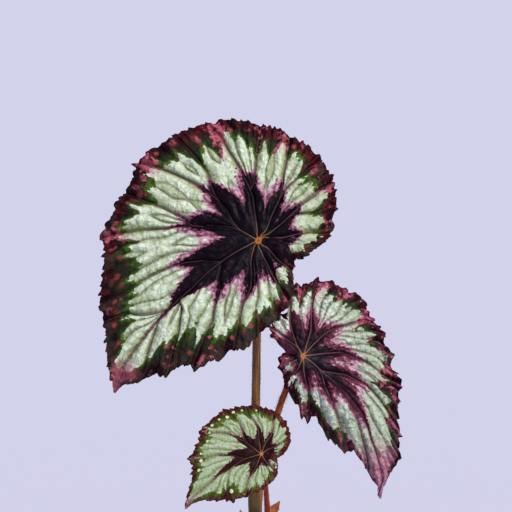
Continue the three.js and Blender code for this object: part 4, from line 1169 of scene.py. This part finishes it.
def upper_finish(leaf):
    """The painted upper face: zones by their fields, jagged along the veins, then the veins."""
    tones = leaf["colours"]
    skin = Finish(leaf["name"] + "_upper", Specular_IOR_Level=0.08)
    plane = skin.attribute("plane", "Vector")
    side, up, radius = plane.part("X"), plane.part("Y"), plane.part("Z")
    share, vein, rim, hem = [skin.attribute(name) for name in ("share", "vein", "rim", "hem")]
    heart, silver, rosy = [skin.attribute(name) for name in ("heart", "silver", "rosy")]
    tip, ridge, pleat, lobe = [skin.attribute(name) for name in ("tip", "ridge", "pleat", "lobe")]
    level = radius.math("MAXIMUM", 1.0)
    ways = {0: side / level, 1: up / level, 2: radius * RAY_DEPTH}
    ray = plane.node("ShaderNodeCombineXYZ", ways)
    flat = plane.node("ShaderNodeCombineXYZ", {0: side, 1: up, 2: 0.0})
    scaled = flat * leaf["detail"]
    unit = 1 / leaf["detail"]

    # Lobes, fingers and streaks run out from the joint; the others are blots of several sizes.
    lobes = ray.noise(LOBE_SCALE, 1.0)
    fingers = ray.noise(FINGER_SCALE, 1.0)
    streak = ray.noise(STREAK_SCALE, 2.0)
    coral = scaled.noise(CORAL_SCALE, 2.0, 0.55)
    patch = scaled.noise(PATCH_SCALE, 2.0)
    curd = scaled.noise(CURD_SCALE, 2.0)
    grain = scaled.noise(GRAIN_SCALE, 2.0)
    knobs = scaled.cells(KNOB_SCALE, "F1") - 0.42
    half = pleat.math("PINGPONG", 0.5)
    fold = half * 2.0
    crease = half * lobe
    warp = scaled.node("ShaderNodeTexNoise", {"Vector": scaled, "Scale": WARP_SCALE}, "Color")
    quilt = (scaled + warp * 2.2).cells(QUILT_SCALE)
    patchy = (patch * 2.0 + coral).step(-0.3, 0.5)

    # Silver, sage towards its right, with seams between its quilts and pleats. Painted shade and
    # highlight lie on its lobes: each pleat sage in its crease and on one side and silver on its
    # ridge and other side, each quilt paler in its middle, among blots of the silver's own tone.
    slant = pleat.math("FRACT") - 0.5
    painted_lobe_light = fold * 0.5 + slant * 0.5 + ridge * 0.2 + coral * 1.1 + patch * 0.7
    painted_lobe_light = painted_lobe_light + quilt * leaf["quilt"]
    metal = painted_lobe_light.step(-0.15, 1.0).blend(tones["sage"], tones["silver"])
    to_right = (side * leaf["detail"] + patch * 30).step(5.0, 48.0)
    metal = (to_right * 0.55).blend(metal, tones["sage"])
    metal = (quilt.step(0.07, 0.015) * patchy * leaf["quilt"]).blend(metal, tones["seam"])
    # The creases between the pleats darkened, partly the side veins' own colour, partly painted
    # shade.
    metal = (crease.step(1.2 * unit, 0.2) * 0.4).blend(metal, tones["seam"])

    # The pink fringe between the heart and the silver, and the flushes at its edge and the tip.
    calm = vein.step(0.3, 4.0 * unit) * 0.8 + 0.2
    edge = heart + (coral * 9.0 + fingers * 8.0 + knobs * 3.0 + curd * 1.5) * calm * unit
    wide = (share + coral * 0.25).step(leaf["blush_to"], leaf["blush_to"] - 0.3)
    wide = wide * leaf["fringe_width"] + 0.7 * unit
    near = (edge + wide + (coral * 3.0 + curd * 3.0) * unit).step(-0.8 * unit, 0.6 * unit)
    bright = (edge + wide * 0.4 + curd * 7.0 * unit).step(0.8, -2.2 * unit)
    metal = near.blend(metal, bright.blend(tones["fringe"], tones["blush"]))
    rose = (rosy + coral * 1.2).step(0.5, 1.1) * (silver + coral * 8).step(10.0, 1.0)
    metal = (rose * 0.75).blend(metal, tones["blush"])
    pointed = tip + (coral * 12.0 + streak * 6.0) * unit
    pointed = pointed.step(leaf["tip"] * 1.5, leaf["tip"] * 0.7)
    blushed = (coral + streak * 0.8 + patch).step(-0.4, 0.15).blend(tones["rose"], tones["tip"])
    flecked = (streak + coral + curd * 0.5).step(0.25, -0.25)
    blushed = (flecked * 0.45).blend(blushed, tones["wine"])
    metal = (pointed * 0.9).blend(metal, blushed)

    # Green beyond the silver's scalloped edge, then the dark wine margin.
    outer = silver + (coral * 5.0 + lobes * 8.0 + fingers * 7.0 + knobs * 3.5 + curd * 3.0) * unit
    outer = outer + (fold - 0.6) * leaf["scallop"]
    inside = outer.step(-0.25, 0.25)
    green = (outer + patch * 6.0 * unit).step(-6.0 * unit, -0.5)
    green = green.blend(tones["green"], tones["olive"])
    green = (patch.step(0.02, 0.16) * 0.5).blend(green, tones["teal"])
    drift = lobes * 1.2 + fingers * 1.3 + coral * 1.2 + streak * 0.9
    browned = (outer * -0.06 * leaf["detail"] + drift).step(0.25, 0.95)
    green = (browned * 0.85).blend(green, tones["brown"])
    inward = (lobes * 9.0 + coral * 5.0 + fingers * 6.0 + streak * 4.0) * unit
    inward = inward - side.step(-8.0, 14.0) * leaf["right_rim"]
    wine_share = (rim + inward).step(leaf["rim"] * 1.35, leaf["rim"] * 0.5)
    # Wine streaked with near-black along the margin's wrinkles: partly its own mottling, partly
    # painted highlight on the wrinkles and painted shade between them.
    wine = (drift + patch).step(-0.3, 0.45).blend(tones["night"], tones["wine"])
    wine = ((patch * 1.6 + lobes - up * 0.003).step(0.0, 0.24) * 0.6).blend(wine, tones["teal"])
    wine = ((streak + curd * 0.5).step(0.05, 0.3) * 0.5).blend(wine, tones["plum"])
    wine = ((rim + coral * 3.0 * unit).step(1.2, 0.1) * 0.7).blend(wine, tones["night"])
    border = wine_share.blend(green, wine)

    # Embers, pink blots and single dots on the green and the margin.
    band = flat.node("ShaderNodeCombineXYZ", {0: hem, 1: rim * 0.6, 2: 0.0}) * leaf["detail"]
    spot = band.cells(SPOT_SCALE, "F1", sides="2D") + coral * 0.5 + curd * 0.3
    kind = band.cells(SPOT_SCALE, "F1", "Color", sides="2D").part("X")
    blob = spot.step(0.4, 0.12) * rim.step(1.2, 3.0) * outer.step(-0.5, -2.0)
    blob = blob * rim.step(20.0 * unit, 14.0 * unit)
    embers = blob * kind.step(0.26, 0.2) * rim.step(4.0 * unit, 7.0 * unit)
    border = (embers * 0.4).blend(border, tones["ember"])
    rosy_blob = blob * kind.step(leaf["pinks"], leaf["pinks"] + 0.06)
    pink = (rosy + lobes * 1.6 + coral * 2.4 + curd * 0.6).step(0.5, 0.85)
    pink = pink * (rim + coral * 3.0 * unit).step(0.5, 1.8)
    mottled = drift * 0.7 + curd * 1.5 + coral + grain * 0.4
    blotch = mottled.step(-0.5, 0.4).blend(tones["plum"], tones["rose"])
    border = (pink.math("MAXIMUM", rosy_blob) * 0.85).blend(border, blotch)
    kept = (rim * leaf["detail"] + streak * 3.0 + coral * 3.0).step(2.0, 5.0)
    kept = kept.math("MAXIMUM", tip.step(leaf["tip"] * 0.5, leaf["tip"] * 0.25))
    border = (pointed * kept * 0.9).blend(border, blushed)
    drop = skin.attribute("dot") + curd * 0.4 + (coral * 2.0 + streak * 1.2) * (unit - 0.5)
    dotted = drop.step(0.6 + 0.9 * unit, 1.4 - unit)
    border = (dotted * (1.2 - 0.35 * unit)).blend(border, tones["dot"])

    # The dark heart with its painted sheen (blots of painted reflection), fading outwards, and the
    # pink islands in it.
    colour = inside.blend(border, metal)
    dark = edge.step(-0.25, 0.25)
    painted_sheen = (patch * 1.5 + ridge * 0.4 + coral * 0.8).step(0.2, 0.85)
    deep = (painted_sheen * 0.7).blend(tones["heart"], tones["painted_sheen"])
    deep = ((share + coral * 0.3).step(0.2, 0.7) * leaf["fade"]).blend(deep, tones["plum"])
    island = (coral * 1.6 + fingers * 1.6 + curd * 0.8).step(0.34, 0.46)
    island = island * edge.step(leaf["fringe_width"] * 1.8, 0.5)
    deep = (island * vein.step(0.6, 2.0) * 0.8).blend(deep, tones["fringe"])
    colour = dark.blend(colour, deep)

    # The veins and their side twigs, and the light star where the stalk joins.
    line = vein + grain * 0.12 + dark * leaf["line"] * 0.3
    line = line.step(leaf["line"] * 1.3, leaf["line"] * 0.7)
    tan = radius.step(leaf["star"] * 4.0, leaf["star"] * 1.0).blend(tones["thread"], tones["tan"])
    tan = radius.step(leaf["star"] * 1.5, leaf["star"] * 0.5).blend(tan, tones["glow"])
    thread = dark.blend(tones["vein"], tan)
    # Painted shade beside the veins in the silver, in the veins' colour.
    valley = vein.step(2.0 * unit, 0.3) * (1 - dark) * inside
    valley = valley * (share + coral * 0.4).step(0.9, 0.5)
    colour = (valley * leaf["valley"]).blend(colour, tones["vein"])
    shown = inside.math("MAXIMUM", dark) * 0.7 + 0.15
    colour = (line * shown).blend(colour, thread)
    twigs = crease.step(0.42 * unit, 0.2 * unit) * inside * (1 - dark) * vein.step(0.2, 0.8)
    colour = (twigs * leaf["twigs"]).blend(colour, tones["vein"])
    star = (radius + curd * 0.6 * unit).step(leaf["star"] * 0.6, leaf["star"] * 0.35)
    colour = star.blend(colour, tones["glow"])
    colour = radius.step(leaf["star"] * 0.3, leaf["star"] * 0.15).blend(colour, tones["pip"])
    skin.drive(Base_Color=colour, Roughness=curd * 0.15 + 0.48)

    # Fine relief: quilted on the silver, creased by the veins, rough on the margin, and almost
    # smooth in the heart.
    light = (1 - dark * 0.8) * inside.step(-0.8, 1.0)
    relief = (quilt.step(0.0, 0.4) * leaf["quilt"] + coral * 1.2) * light + curd * 0.3
    seams = crease.step(0.0, 1.4 * unit) + vein.step(0.0, 1.4 * unit)
    relief = relief + seams * (1 - dark) * leaf["twigs"]
    relief = relief + line * 0.2 + (streak + coral) * (1 - light) * (1 - dark) * 1.1
    skin.bump(relief * radius.step(2.5, 9.0), 0.001 * (0.4 + 0.6 * unit), 1.0)
    return skin.material


def under_finish(leaf):
    """The dull red underside, with its paler raised veins and its green between them."""
    skin = Finish(leaf["name"] + "_under", Specular_IOR_Level=0.25)
    plane = skin.attribute("plane", "Vector")
    vein, share, silver = skin.attribute("vein"), skin.attribute("share"), skin.attribute("silver")
    curd = plane.noise(0.4, 3.0, 0.6)
    patch = plane.noise(0.1, 2.0)
    colour = (silver + curd * 9.0).step(-3.0, 4.0).blend(paint(112, 30, 40), paint(146, 132, 104))
    colour = (share + patch * 0.3).step(0.62, 0.32).blend(colour, paint(92, 30, 44))
    colour = (curd.step(-0.1, 0.3) * 0.4).blend(colour, paint(150, 70, 70))
    colour = (vein.step(1.5, 0.6) * 0.85).blend(colour, paint(172, 104, 82))
    net = plane.cells(0.36).step(0.1, 0.0)
    colour = (net * 0.35).blend(colour, paint(170, 108, 92))
    skin.drive(Base_Color=colour, Roughness=curd * 0.2 + 0.6)
    skin.bump(net * 0.8 + curd * 0.6, 0.0007, 0.7)
    return skin.material


for leaf in LEAVES:
    sheet, fields, upward = spread_blade(leaf)
    blade = keep(sheet, leaf["name"])
    for name, values in fields.items():
        give(blade.data, name, values)
    solid = bmesh.new()
    solid.from_mesh(blade.data)
    bmesh.ops.remove_doubles(solid, verts=solid.verts, dist=1e-6)
    upper = set(solid.faces)
    made = bmesh.ops.extrude_face_region(solid, geom=list(upper))
    rib = solid.verts.layers.float["rib"]
    for v in made["geom"]:
        if isinstance(v, bmesh.types.BMVert):
            v.co -= upward * (BLADE_THICKNESS + (RIB_THICKNESS - BLADE_THICKNESS) * v[rib]) * MM
    for face in solid.faces:
        face.smooth = True
        face.material_index = 0 if face in upper else 1
    bmesh.ops.recalc_face_normals(solid, faces=solid.faces)
    solid.to_mesh(blade.data)
    solid.free()
    blade.data.materials.append(upper_finish(leaf))
    blade.data.materials.append(under_finish(leaf))
    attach(blade, "root")
    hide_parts(leaf["node"])


bpy.context.view_layer.update()
